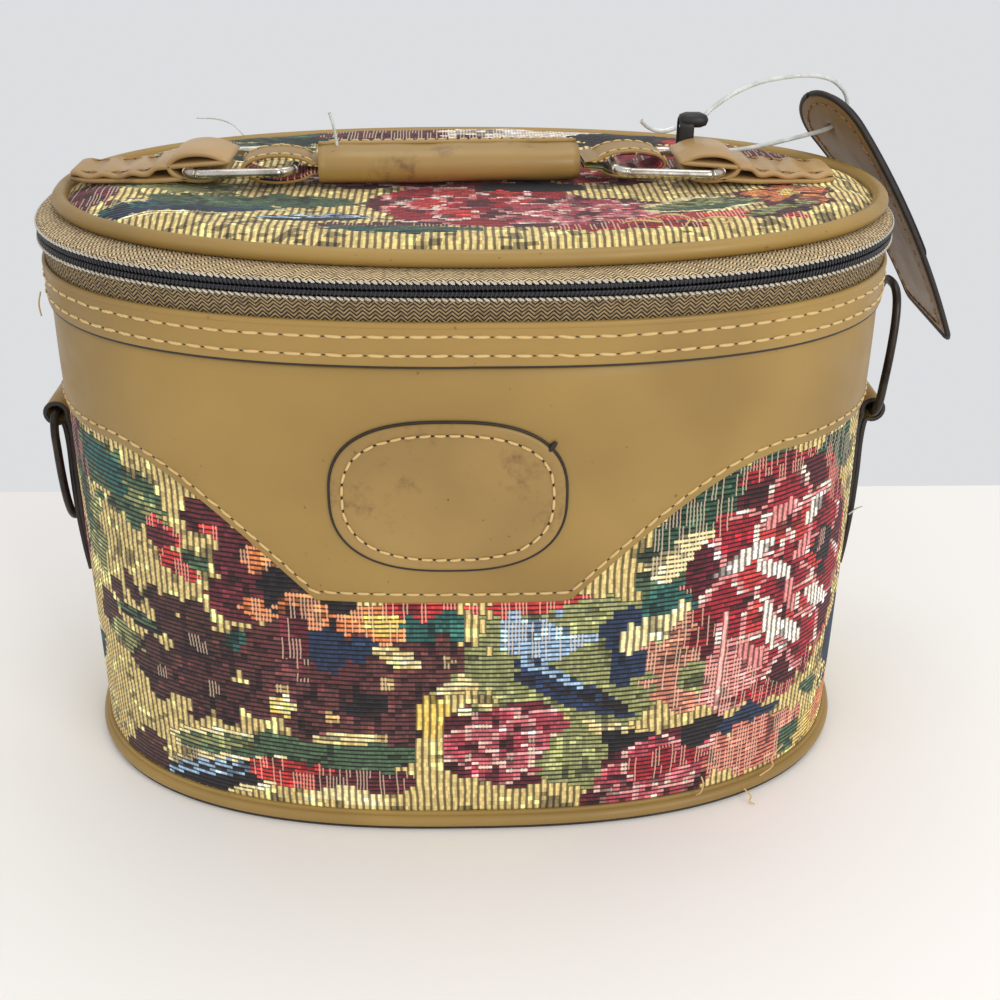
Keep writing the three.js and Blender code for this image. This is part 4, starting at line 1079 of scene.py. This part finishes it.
def add_back_hinge():
    """The cloth strip the lid folds on; it bends from the case's wall to the lid's piping."""
    arcs = np.linspace(PERIMETER / 2 - HINGE_HALF, PERIMETER / 2 + HINGE_HALF, 60)
    outer = [(1.3, 170), (1.35, 176), (1.5, 181.5), (2.3, 185), (2.9, 188.5), (3.0, 190.5), (2.8, 192.4)]
    outer += [(1.8, 193.6), (0.0, 194.1), (-2.6, 194.5), (0.9, 195.3, LID)]
    inner = [(-0.8, 195.1, LID), (-0.8, 194.2, LID), (-2.9, 193.6), (0.0, 193.2), (1.4, 192.4), (1.9, 190.5)]
    inner += [(1.9, 188.4), (1.2, 185), (0.6, 181.5), (0.45, 176), (0.4, 170)]
    rings = section_rings(arcs, outer + inner)
    made = loft("hinge_cloth", rings, TAPE, False, arcs)
    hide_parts("back_hinge_strip")
    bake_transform(made)


D_BAR_X, D_BAR_Z = 145.5, 119.5
TAB_FOOT_Z = 59.5


def add_side_tab(name, side):
    """A vinyl strip whose top turns round the D-ring's bar, with painted edges and two stitch rows."""
    turn = np.radians(np.linspace(205, -118, 28))
    radius = 3.8
    loop = np.stack([D_BAR_X + radius * np.cos(turn), D_BAR_Z + radius * np.sin(turn)], 1)
    up = [(139.3, 56.2), (140.3, 66), (141.2, 80), (141.4, 95), (141.2, 106), (141.2, 113)]
    down = [(143.0, 113.2), (142.7, 106), (142.9, 95), (142.7, 80), (141.8, 66), (140.8, 57.0)]
    route = np.concatenate([up, loop, down])
    path = smooth_path(np.stack([route[:, 0], np.zeros(len(route)), route[:, 1]], 1), 120)
    path[:, 0] *= side
    strip = sweep(name, path, rounded_box(12.3, 0.66, 0.5, 2), ACROSS, VINYL_WORN)
    finish_piece(strip, "case", [name.replace("tab_strap", "side_tab")])
    for k, y in enumerate((-12.3, 12.3)):
        rim = path.copy()
        rim[:, 1] = y
        paint = sweep(f"{name}_edge_{k}", rim, rounded_box(0.45, 0.8, 0.3, 2), ACROSS, EDGE_PAINT_AND_SHADOW)
        finish_piece(paint, "case")
    z = np.linspace(TAB_FOOT_Z, 106, 40)
    face = np.interp(z, [57, 66, 80, 95, 106], [141.5, 142.5, 143.4, 143.6, 143.4])
    for k, y in enumerate((-9.6, 9.6)):
        line = np.stack([side * face, z * 0 + y, z], 1)
        sew("case", f"{name}_stitches_{k}", line, np.tile([side, 0.0, 0.0], (40, 1)), 4.6, THREAD, 0.42)
    y = np.linspace(-9.6, 9.6, 12)
    line = np.stack([y * 0 + side * 141.75, y, y * 0 + TAB_FOOT_Z], 1)
    sew("case", f"{name}_stitches_2", line, np.tile([side, 0.0, 0.0], (12, 1)), 4.4, THREAD, 0.42)


def add_d_ring(name, side, turn, body, node):
    """Dark wire D: a straight bar and a bow, turned about the bar."""
    half, drop = 17.0, 44.0
    a = np.linspace(0, math.pi, 48)
    y = half * np.sign(np.cos(a)) * np.abs(np.cos(a)) ** 0.7
    down = -drop * np.abs(np.sin(a)) ** 0.8
    bar = np.linspace(-half, half, 14)[1:-1]
    local = np.concatenate([np.stack([bar, bar * 0], 1), np.stack([y, down], 1)])
    angle = math.radians(turn)
    x = local[:, 1] * math.sin(angle)
    z = local[:, 1] * math.cos(angle)
    path = np.stack([side * D_BAR_X + x, local[:, 0], D_BAR_Z + z], 1)
    path = smooth_path(path[::2], 150, True)
    flat = np.array([math.cos(angle), 0, -math.sin(angle)])
    made = sweep(name, path, circle(1.5, 14), flat, GUNMETAL, True)
    finish_piece(made, body, [node])


def add_lining():
    """Cloth lining with soft vertical ripples, the floor, the pocket with gathers and its elastic."""
    arcs = np.linspace(0, PERIMETER, 200, endpoint=False)
    ripple = 0.35 * np.sin(arcs / 9)
    heights = (5.0, 30, 60, 90, 120, 150, 176, 181.5)
    rows = [(-4.5 + ripple * math.sin(z / 40), z) for z in heights]
    rows += [(-2.6, 182.6), (0.3, 182.2), (-3.2, 181.0), (-3.8, 5.0)]
    v = [5, 30, 60, 90, 120, 150, 176, 182, 185, 188, 190, 370, 380]
    made = loft("lining_cloth", section_rings(arcs, rows), LINING, True, np.append(arcs, PERIMETER), v)
    finish_piece(made, "case", ["body_lining"])
    rows = [(1, 4.7), (1, 5.3), (0.93, 5.6), (0.5, 5.5), (0.06, 5.5)]
    finish_piece(dome("lining_base", BODY, -4.9, rows, LINING), "case", ["lining_floor"])
    stations = np.linspace(PERIMETER / 2 - 80, PERIMETER / 2 + 80, 130)
    gather = np.sin(stations * 1.1) + 0.5 * np.sin(stations * 0.43)
    folds = ((30, -6.2, 0.05), (34, -8.2, 0.2), (60, -9.6, 0.3), (90, -8.6, 0.45), (110, -7.2, 0.6))
    rows = [(depth + pull * gather, z) for z, depth, pull in (*folds, (117.9, -6.4, 0.55))]
    rings = section_rings(stations, rows + [(-5.3, 117.9), (-5.3, 30)])
    v = [30, 34, 60, 90, 110, 118, 120, 200, 204]
    made = loft("pocket_cloth", rings, POCKET, False, stations, v)
    finish_piece(made, "case", ["inner_pocket"])
    ruffle = 0.3 * gather
    rows = [(-5.3, 118), (-6.7 + ruffle, 118), (-7.0 + ruffle, 121.5), (-6.7 + ruffle, 125), (-5.3, 125)]
    rings = section_rings(stations, rows)
    made = loft("pocket_band", rings, POCKET, False, stations, [0, 2, 5, 8, 10, 17])
    finish_piece(made, "case", ["pocket_elastic"])


def dome(name, shape, offset, rows, material):
    """A sheet across an outline: rows of (scale, z) from one face's middle round the rim to the other's."""
    t = np.linspace(0, 2 * math.pi, 160, endpoint=False)
    rings = []
    for scale, z in rows:
        p = outline_point(shape, t, offset, z)
        p[:, :2] = (p[:, :2] - (shape[3], 0)) * scale + (shape[3], 0)
        rings.append(p)
    made = loft(name, np.stack(rings, 0), material)
    flat_uv(made)
    return made


def flat_uv(obj):
    """Cloth coordinates straight down from above, in millimetres."""
    mesh = obj.data
    co = np.zeros(len(mesh.vertices) * 3)
    mesh.vertices.foreach_get("co", co)
    index = np.zeros(len(mesh.loops), int)
    mesh.loops.foreach_get("vertex_index", index)
    uv = co.reshape(-1, 3)[index][:, :2] / MM
    mesh.uv_layers["cloth"].data.foreach_set("uv", uv.astype(np.float32).ravel())


# ---- Lid ----------------------------------------------------------------------------------------


def lid_height(scale, x, y):
    """The padded top: nearly flat, a low swell inside the edge, dipping to the piping."""
    swell = 199.2 + 1.7 * np.exp(-(((scale - 0.84) / 0.15) ** 2)) - 0.4 * np.exp(-((scale / 0.5) ** 2))
    drop = 3.4 * np.clip((scale - 0.9) / 0.1, 0, 1) ** 1.6
    puckers = 0.45 * wander(x, y, 16, 71) + 0.25 * wander(x, y, 7, 72)
    strain = np.exp(-(((np.abs(x) - 112) / 22) ** 2) - (y / 34) ** 2)
    folds = 0.55 * strain * np.sin(y / 2.6 + 0.03 * x)
    return swell - drop + folds + puckers * (0.25 + np.clip((scale - 0.5) * 2, 0, 1) * (scale < 0.98))


def add_lid_top():
    """The woven lid cover: rings scaled down from the lid's outline, coloured cell by cell."""
    inset = 1.6
    half_x, half_y, n, middle = LID[0] - inset, LID[1] - inset, LID[2], LID[3]
    scales = np.concatenate([np.linspace(0.012, 0.9, 74), np.linspace(0.91, 1.0, 10)])
    t = np.linspace(0, 2 * math.pi, 230, endpoint=False)
    c, s = np.cos(t), np.sin(t)
    ex = np.sign(c) * half_x * np.abs(c) ** (2 / n)
    ey = np.sign(s) * half_y * np.abs(s) ** (2 / n)
    x, y = middle + scales[:, None] * ex[None], scales[:, None] * ey[None]
    z = lid_height(scales[:, None], x, y)
    rib = 0.14 * np.sin(np.pi * np.mod(y / CELL_V, 1))
    top = np.stack([x, y, z + rib], -1)
    under = np.stack([x[::-12], y[::-12], np.minimum(z[::-12] - 1.1, 198.0)], -1)
    rings = np.concatenate([top, under], 0)
    made = loft("lid_cover", rings, TAPESTRY)
    flat_uv(made)
    mesh = made.data
    centres = np.zeros(len(mesh.polygons) * 3)
    mesh.polygons.foreach_get("center", centres)
    centres = centres.reshape(-1, 3) / MM
    cell_x = (np.floor(centres[:, 0] / CELL_U) + 0.5) * CELL_U
    cell_y = (np.floor(centres[:, 1] / CELL_V) + 0.5) * CELL_V
    sizes = np.zeros(len(mesh.polygons), int)
    mesh.polygons.foreach_get("loop_total", sizes)
    yarn_layer(made, np.repeat(weave_lid(cell_x, cell_y), sizes, axis=0))
    finish_piece(made, "lid", ["lid_tapestry", "lid_foam"])


def add_lid_parts():
    piping = [(x, 197.2 + y) for x, y in circle(2.6, 14)]
    made = ring_strip("lid_edge_piping", piping, VINYL, shape=LID)
    finish_piece(made, "lid", ["lid_piping"])
    flange = rounded_section(194.7, 195.9, -2.0, 0.8, 0.5)
    made = ring_strip("lid_piping_flange", flange, VINYL, shape=LID)
    finish_piece(made, "lid")
    rows = [(0.05, 192.55), (1, 192.55), (1, 191.8), (0.9, 191.65), (0.05, 191.7)]
    finish_piece(dome("lid_inside_cloth", LID, -3.4, rows, LINING), "lid", ["lid_lining"])


# ---- Handle -------------------------------------------------------------------------------------

HANDLE_X = -4.0
HANDLE_Y = -1.5
HANDLE_YAW = math.radians(4)
GRIP_MIDDLE, GRIP_HALF, GRIP_Z = -2.4, 43.2, 206.1
STRAP_REACH, STRAP_TAIL, STRAP_Z = 58.5, 42.5, 205.9
RING_REACH, RING_Z = 88, 204.9


def in_handle_frame(obj):
    """Moves a piece drawn about the handle's own centre to its place on the lid."""
    place = Matrix.Translation((HANDLE_X * MM, HANDLE_Y * MM, 0))
    obj.data.transform(place @ Matrix.Rotation(HANDLE_YAW, 4, "Z"))
    return obj


def add_grip():
    """The wrapped vinyl grip: a flattened roll with a lapped, stitched seam along its rear top."""
    turn = np.linspace(0, 2 * math.pi, 40, endpoint=False)
    c, s = np.cos(turn), np.sin(turn)
    rings = []
    for x in np.linspace(-GRIP_HALF, GRIP_HALF, 34):
        end = 1 - 0.06 * (abs(x) / GRIP_HALF) ** 8
        wave = 0.16 * math.sin(x / 7) + 0.12 * math.sin(x / 3.1 + 1)
        y = 11.2 * np.sign(c) * np.abs(c) ** 0.82 * end
        z = GRIP_Z + (6.1 + wave * s) * np.sign(s) * np.abs(s) ** 0.86 * end
        rings.append(np.stack([turn * 0 + GRIP_MIDDLE + x, y, z], 1))
    body = in_handle_frame(loft("grip_wrap", np.stack(rings, 0), VINYL_STAINED))
    finish_piece(body, "handle", ["handle_grip"])
    flap_turn = np.radians(np.linspace(48, 92, 9))
    outer = np.stack([11.5 * np.cos(flap_turn), GRIP_Z + 6.7 * np.sin(flap_turn)], 1)
    inner = np.stack([10.5 * np.cos(flap_turn), GRIP_Z + 5.8 * np.sin(flap_turn)], 1)[::-1]
    section = np.concatenate([outer, inner])
    stations = GRIP_MIDDLE + np.linspace(-GRIP_HALF + 0.2, GRIP_HALF - 0.2, 24)
    lip = [np.concatenate([np.full((len(section), 1), x), section], 1) for x in stations]
    flap = in_handle_frame(loft("grip_flap", np.stack(lip, 0), VINYL_STAINED))
    finish_piece(flap, "handle")
    x = np.linspace(-40, 40, 30)
    line = np.stack([GRIP_MIDDLE + x, x * 0 + 5.0, x * 0 + 212.3], 1)
    row = stitch_line("grip_stitches", line, np.tile([0.0, 0.5, 0.86], (30, 1)), 3.6, THREAD, 0.38)
    finish_piece(in_handle_frame(row), "handle")
    barb = smooth_path([[-39.2, -2, 211.5], [-39.6, -2, 215], [-40.3, -2, 219], [-41.4, -2, 223]], 16)
    made = in_handle_frame(sweep("price_barb", barb, circle(0.5, 8), ACROSS, NYLON))
    finish_piece(made, "handle")


def strap_loop_path(half_length, half_height):
    """The loop of strap at the handle's right end, opening from a neck inside the grip."""
    a = np.radians(np.linspace(158, -158, 40))
    x = np.concatenate([[STRAP_TAIL], STRAP_REACH + half_length * np.cos(a), [STRAP_TAIL]])
    z = np.concatenate([[STRAP_Z + 0.9], STRAP_Z + half_height * np.sin(a), [STRAP_Z - 0.9]])
    return np.stack([x, x * 0, z], 1)


def add_handle_straps():
    for side, name in ((-1, "left"), (1, "right")):
        mirror = np.array([side, 1, 1])
        outer, inner = strap_loop_path(11.6, 4.3) * mirror, strap_loop_path(10.8, 3.5) * mirror
        layers = (
            ("strap_vinyl", outer, 0.55, VINYL_WORN, "vinyl"),
            ("strap_lining", inner, 0.42, TAPESTRY, "tapestry"),
        )
        for label, route, half, material, slot in layers:
            box = rounded_box(8.2, half, half * 0.9, 2)
            made = sweep(f"{name}_{label}", smooth_path(route, 70), box, ACROSS, material)
            in_handle_frame(made)
            if material is TAPESTRY:
                plain_yarn(made, name)
            nodes = ["handle_strap"] if label == "strap_vinyl" and side < 0 else []
            finish_piece(made, "handle", nodes)
        for k, y in enumerate((-6.4, 6.4)):
            lifted = smooth_path(outer, 70)
            out = lifted - np.array([side * STRAP_REACH, 0, STRAP_Z])
            out[:, 0] *= 0.25
            lifted = lifted + unit(out) * 0.62
            lifted[:, 1] = y
            row = stitch_line(f"{name}_strap_stitches_{k}", lifted[6:36], unit(out)[6:36], 3.6, THREAD, 0.34)
            finish_piece(in_handle_frame(row), "handle")


def plain_yarn(obj, key):
    """Woven colours for a small piece cut from the same cloth."""
    mesh = obj.data
    index = np.zeros(len(mesh.loops), int)
    uv = np.zeros(len(mesh.loops) * 2)
    mesh.uv_layers["cloth"].data.foreach_get("uv", uv)
    mesh.loops.foreach_get("vertex_index", index)
    uv = uv.reshape(-1, 2)
    shift = 60 if key == "left" else -20
    yarn_layer(obj, weave_wall(uv[:, 0] + shift, uv[:, 1] + 20))


def add_handle_ring(name, side, body, node):
    corner, half, span, tilt = 6.0, 17.0, 35.0, math.radians(1.5)
    near, far, rear = corner, span - corner, half - corner
    points = []
    for cx, cy, first in ((near, rear, 180), (far, rear, 90), (far, -rear, 0), (near, -rear, -90)):
        for k in range(9):
            a = math.radians(first - 90 * k / 8)
            points.append([cx + corner * math.cos(a), cy + corner * math.sin(a)])
    run, y = np.array(points).T
    x = HANDLE_X + side * (RING_REACH - run * math.cos(tilt))
    path = smooth_path(np.stack([x, y, RING_Z + run * math.sin(tilt)], 1), 140, True)
    made = sweep(name, path, circle(1.6, 16), UP, BRIGHT, True)
    finish_piece(made, body, [node])


CHAPE_TAPER = 117


def add_chape(name, side, node):
    """The sewn ring strap: flat on the lid, folding back over the ring in an open loop."""
    a = np.radians(np.linspace(218, 518, 44))
    loop = np.stack([84.5 + 9.5 * np.cos(a), a * 0, 206.1 + 4.3 * np.sin(a)], 1)
    under = [[127, 0, 201.7], [112, 0, 201.65], [98, 0, 201.7]]
    over = [[97, 0, 205.9], [101, 0, 204.1], [112, 0, 203.3], [126.5, 0, 203.2]]
    path = smooth_path(np.concatenate([under, loop, over]), 120)
    crease = np.clip((path[:, 0] - 96) / 8, 0, 1) * (path[:, 2] > 202.6)
    path[:, 2] += 0.5 * crease * np.sin(path[:, 0] / 1.5)
    path[:, 0] = HANDLE_X + side * path[:, 0]
    run = np.abs(path[:, 0] - HANDLE_X)
    width = 12.2 - 3.2 * np.clip((run - CHAPE_TAPER) / 10, 0, 1) ** 2
    box = rounded_box(1.1, 0.8, 0.6, 2)
    sign = np.sign(box[:, 0])
    section = np.stack([np.stack([sign * (w - 1.1) + box[:, 0], box[:, 1]], 1) for w in width])
    finish_piece(sweep(name, path, section, ACROSS, VINYL_AGED), "lid", [node])
    xs = np.linspace(98, 124.5, 24)
    top = np.interp(xs, [97, 101, 112, 126.5], [206.2, 205.0, 204.15, 204.0])
    for k, y in enumerate((-9.4, 9.4)):
        inset = y * (1 - 0.2 * np.clip((xs - CHAPE_TAPER) / 10, 0, 1))
        line = np.stack([HANDLE_X + side * xs, inset, top], 1)
        sew("lid", f"{name}_stitches_{k}", line, np.tile(UP, (24, 1)), 4.0, DULL_THREAD, 0.42)
    y = np.linspace(-7, 7, 12)
    line = np.stack([y * 0 + HANDLE_X + side * 124.5, y, y * 0 + 204.0], 1)
    sew("lid", f"{name}_stitches_2", line, np.tile(UP, (12, 1)), 3.8, DULL_THREAD, 0.42)


# ---- Luggage tag --------------------------------------------------------------------------------

TAG_TOP = np.array([-6.4, 38.0, -15.1])
TAG_FOOT = np.array([-4.2, 38.0, 4.9])
TAG_LENGTH, TAG_WIDTH, TAG_THICK, TAG_BEND = 110.0, 40.0, 2.2, 336.0
TAG_CORNER = np.array([127.6, 21.6, 228.7])
TAG_SLOPE = math.radians(50.2)
EYELET_RADIUS, EYELET_ALONG = 2.2, 16.0


def tag_point(across, along, below):
    """A point of the tag: across its width, along its curved and twisting length, below its outer face."""
    along = np.asarray(along, float)
    share = (along / TAG_LENGTH)[..., None]
    width = unit(TAG_TOP + (TAG_FOOT - TAG_TOP) * share)
    slope = TAG_SLOPE + along / TAG_BEND
    x = TAG_CORNER[0] + TAG_BEND * (np.sin(slope) - math.sin(TAG_SLOPE))
    z = TAG_CORNER[2] + TAG_BEND * (np.cos(slope) - math.cos(TAG_SLOPE))
    down = np.stack([np.cos(slope), slope * 0, -np.sin(slope)], -1)
    inward = unit(np.cross(width, down))
    base = np.stack([x, slope * 0 + TAG_CORNER[1], z], -1)
    return base + np.asarray(across)[..., None] * width + np.asarray(below)[..., None] * inward


def tag_outline(inset, length, count=110):
    """Round top and square foot with small corners, as (across, along) pairs."""
    half = TAG_WIDTH / 2
    r = half - inset
    a = np.radians(np.linspace(180, 360, 40))
    top = np.stack([half + r * np.cos(a), half + r * np.sin(a)], 1)
    foot = 2.5
    b = np.radians(np.linspace(0, 90, 6))
    right = np.stack([half + r - foot + foot * np.cos(b), length - inset - foot + foot * np.sin(b)], 1)
    left = np.stack([half - r + foot - foot * np.sin(b), length - inset - foot + foot * np.cos(b)], 1)
    pts = np.concatenate([top, right, left])
    pts = np.concatenate([pts, np.zeros((len(pts), 1))], 1)
    loop = np.concatenate([pts, pts[:1]])
    run = running_length(loop)
    s = np.linspace(0, run[-1], count, endpoint=False)
    return np.stack([np.interp(s, run, loop[:, k]) for k in range(2)], 1)


def tag_layer(name, inset, length, low, thick, material):
    """One bent leather layer with eased edges and an eyelet hole near its round top."""
    count = 110
    edge = tag_outline(inset, length, count)
    eye = np.array([TAG_WIDTH / 2, EYELET_ALONG])
    a = np.arctan2(edge[:, 1] - eye[1], edge[:, 0] - eye[0])
    rim = eye + EYELET_RADIUS * np.stack([np.cos(a), np.sin(a)], 1)
    eased = ((0, 0.12), (0.03, 0), (0.25, 0), (0.6, 0), (0.93, 0), (0.985, 0.15), (1, 0.5))
    rows = [(share, low + below * thick) for share, below in eased]
    rows += [(share, 2 * low + thick - below) for share, below in rows[::-1]]
    rings = []
    for share, below in rows:
        flat = rim + (edge - rim) * share
        rings.append(tag_point(flat[:, 0], flat[:, 1], np.full(count, below)))
    return loft(name, np.stack(rings, 1), material, True)


def add_tag():
    made = tag_layer("tag_leather", 0.25, TAG_LENGTH, 0.15, TAG_THICK - 0.3, VINYL_TAG)
    finish_piece(made, "tag", ["luggage_tag"])
    made = tag_layer("tag_back_layer", 1.5, 78.0, -1.45, 1.1, BLACK)
    finish_piece(made, "tag", ["tag_backing"])
    edge = tag_outline(0.0, TAG_LENGTH, 150)
    path = tag_point(edge[:, 0], edge[:, 1], np.full(150, TAG_THICK / 2))
    rim = sweep("tag_edge_paint", path, circle(1.1, 8), TAG_TOP + 0.3 * UP, EDGE_PAINT_AND_SHADOW, True)
    finish_piece(rim, "tag")
    line = tag_outline(4.2, TAG_LENGTH, 140)
    path = tag_point(line[:, 0], line[:, 1], np.full(140, TAG_THICK - 0.05))
    out = unit(tag_point(line[:, 0], line[:, 1], np.full(140, TAG_THICK + 0.95)) - path)
    sew("tag", "tag_stitches", path, out, 5.0, DULL_THREAD, 0.42, closed=True)


def add_tag_loop():
    """The springy plastic loop. Its route is the CAD model's, in metres."""
    route = [
        (0.0739, 0.0170, 0.2144),
        (0.0796, 0.0171, 0.2149),
        (0.0850, 0.0190, 0.2196),
        (0.0930, 0.0210, 0.2246),
        (0.1030, 0.0250, 0.2277),
        (0.1140, 0.0295, 0.2288),
        (0.1230, 0.0340, 0.2284),
        (0.1310, 0.0383, 0.2262),
        (0.1365, 0.0410, 0.2220),
        (0.1386, 0.0420, 0.2175),
        (0.1376, 0.0417, 0.2134),
        (0.1338, 0.0401, 0.2097),
        (0.1288, 0.0382, 0.2081),
        (0.1190, 0.0340, 0.2066),
        (0.1080, 0.0296, 0.2051),
        (0.0980, 0.0259, 0.2042),
        (0.0905, 0.0236, 0.2044),
        (0.0840, 0.0224, 0.2057),
        (0.0796, 0.0222, 0.2082),
    ]
    path = smooth_path(np.array(route) / MM, 120)
    made = sweep("nylon_loop", path, circle(0.8, 12), ACROSS, NYLON)
    finish_piece(made, "tag", ["tag_loop"])
    free_end = [[60, 13.5, 216.5], [62.5, 13.6, 214.4], [65.5, 13.7, 213.2]]
    tail = smooth_path(free_end + [[68.5, 13.8, 213], [72, 14.2, 214]], 24)
    widths = 1 + 0.8 * np.exp(-((np.arange(24) / 3.0) ** 2))
    section = np.stack([circle(0.8, 10) * np.array([w, 1.0]) for w in widths])
    stub = sweep("nylon_loop_tail", tail, section, ACROSS, NYLON)
    finish_piece(stub, "tag", ["tag_loop_tail"])


KEEPER_Y = 17.2


def add_keeper():
    """The black keeper: a soft band standing round the ring's rear wire, with a rounded top."""
    corners = rounded_box(3.5, 7.9, 2.2, 5)
    path = np.stack([corners[:, 0] * 0 + 76, KEEPER_Y + corners[:, 0], 208.4 + corners[:, 1]], 1)
    side = np.array([1.0, 0.0, 0.0])
    box = rounded_box(2.5, 0.45, 0.4, 2)
    made = sweep("keeper_band", smooth_path(path, 60, True), box, side, BLACK, True)
    finish_piece(made, "tag", ["tag_keeper"])
    top = np.array([[78.4, KEEPER_Y, 216.2]])
    knob = beads("keeper_knob", top, side[None], UP[None], BLACK, 5.2, 4.4, 0.6)
    finish_piece(knob, "tag")


# ---- Small things -------------------------------------------------------------------------------


def add_loose_threads():
    """Short loose threads on the lid, the left side, the right tab and the base."""
    rear = [[-84, 66, 200.5], [-88, 68, 204], [-94, 69, 206], [-102, 70, 206.2]]
    front = [[46, -62, 201], [50, -66, 203], [57, -66, 202.6], [53, -60, 202.5]]
    front_b = [[56, -56, 201], [60, -60, 203.2], [66, -61, 202.4], [64, -67, 201.4]]
    front_c = [[70, -58, 201], [73, -61, 202.6], [79, -60, 202], [76, -64, 201.2]]
    base = [[78, -86.6, 6.5], [79, -88.4, 9], [79.5, -89, 13], [78.6, -89, 16]]
    base_b = [[102, -77, 7], [106, -77, 11], [105, -78.5, 16], [109, -76.5, 20]]
    base_c = [[96, -80.5, 4], [98, -83, 2.6], [97.4, -84, 1.2], [99, -85, 0.8]]
    side = [[-141.4, -24, 168], [-142.2, -25, 164], [-141.8, -25.5, 160]]
    tab = [[141.5, -13.6, 78], [143.6, -15, 81], [145.6, -15.4, 82]]
    threads = (
        ("lid_rear", "lid", rear, NYLON), ("lid_front", "lid", front, THREAD),
        ("lid_front_b", "lid", front_b, THREAD), ("lid_front_c", "lid", front_c, THREAD),
        ("base", "case", base, THREAD), ("base_b", "case", base_b, THREAD),
        ("base_c", "case", base_c, THREAD), ("side", "case", side, THREAD), ("tab", "case", tab, NYLON),
    )
    for name, body, route, material in threads:
        path = smooth_path(route, 30)
        made = sweep(f"thread_{name}", path, circle(0.28, 6), ACROSS + 0.1 * UP, material)
        finish_piece(made, body)


def dress(node, material):
    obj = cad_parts[node]
    obj.data.materials.clear()
    obj.data.materials.append(material)


def dress_cad_nodes():
    """Materials, and soft edges where they are seen, for the CAD pieces that are kept."""
    for node in ("base_board", "wall_board", "lid_board"):
        dress(node, BOARD)
    dress("base_cover", VINYL_WORN)
    dress("mirror_frame", VINYL)
    for node in ("zipper_slider", "slider_bridge", "zipper_pull"):
        dress(node, GUNMETAL)
    for node in ("mirror_frame", "zipper_slider", "slider_bridge", "zipper_pull"):
        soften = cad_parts[node].modifiers.new("soft_edges", "BEVEL")
        soften.width = 0.00025
        soften.segments = 3
        soften.limit_method = "ANGLE"
    glass = Shader("mirror_glass", 0.03, 1.0)
    glass.colour(glass.mix(glass.noise(8, 2), srgb(232, 236, 238), srgb(222, 228, 232)))
    dress("mirror", glass.material)


def add_floor():
    rows = [[[x, y, -0.0002] for x in (-3.0, 3.0)] for y in (-2.0, -0.4, -0.1, 0.172)]
    points = np.array(rows).reshape(-1, 3)
    faces, _ = grid_faces(4, 2, False, False)
    mesh = bpy.data.meshes.new("studio_floor")
    mesh.from_pydata(points.tolist(), [], faces[:, ::-1].tolist())
    mesh.materials.append(floor_material())
    floor = bpy.data.objects.new("studio_floor", mesh)
    bpy.context.scene.collection.objects.link(floor)


add_camera()
add_tag_loop()
add_lights()
add_floor()
add_tapestry_wall()
add_case_vinyl()
add_oval_patch()
add_zip()
add_back_hinge()
add_side_tab("left_tab_strap", -1)
add_side_tab("right_tab_strap", 1)
add_d_ring("left_d_wire", -1, 0, "left_d_ring", "left_d_ring")
add_d_ring("right_d_wire", 1, -174, "right_d_ring", "right_d_ring")
add_lining()
add_lid_top()
add_lid_parts()
add_grip()
add_handle_straps()
add_handle_ring("left_ring_wire", -1, "left_handle_ring", "left_handle_ring")
add_handle_ring("right_ring_wire", 1, "right_handle_ring", "right_handle_ring")
add_chape("left_chape_strap", -1, "left_chape")
add_chape("right_chape_strap", 1, "right_chape")
add_tag()
add_keeper()
add_loose_threads()
dress_cad_nodes()
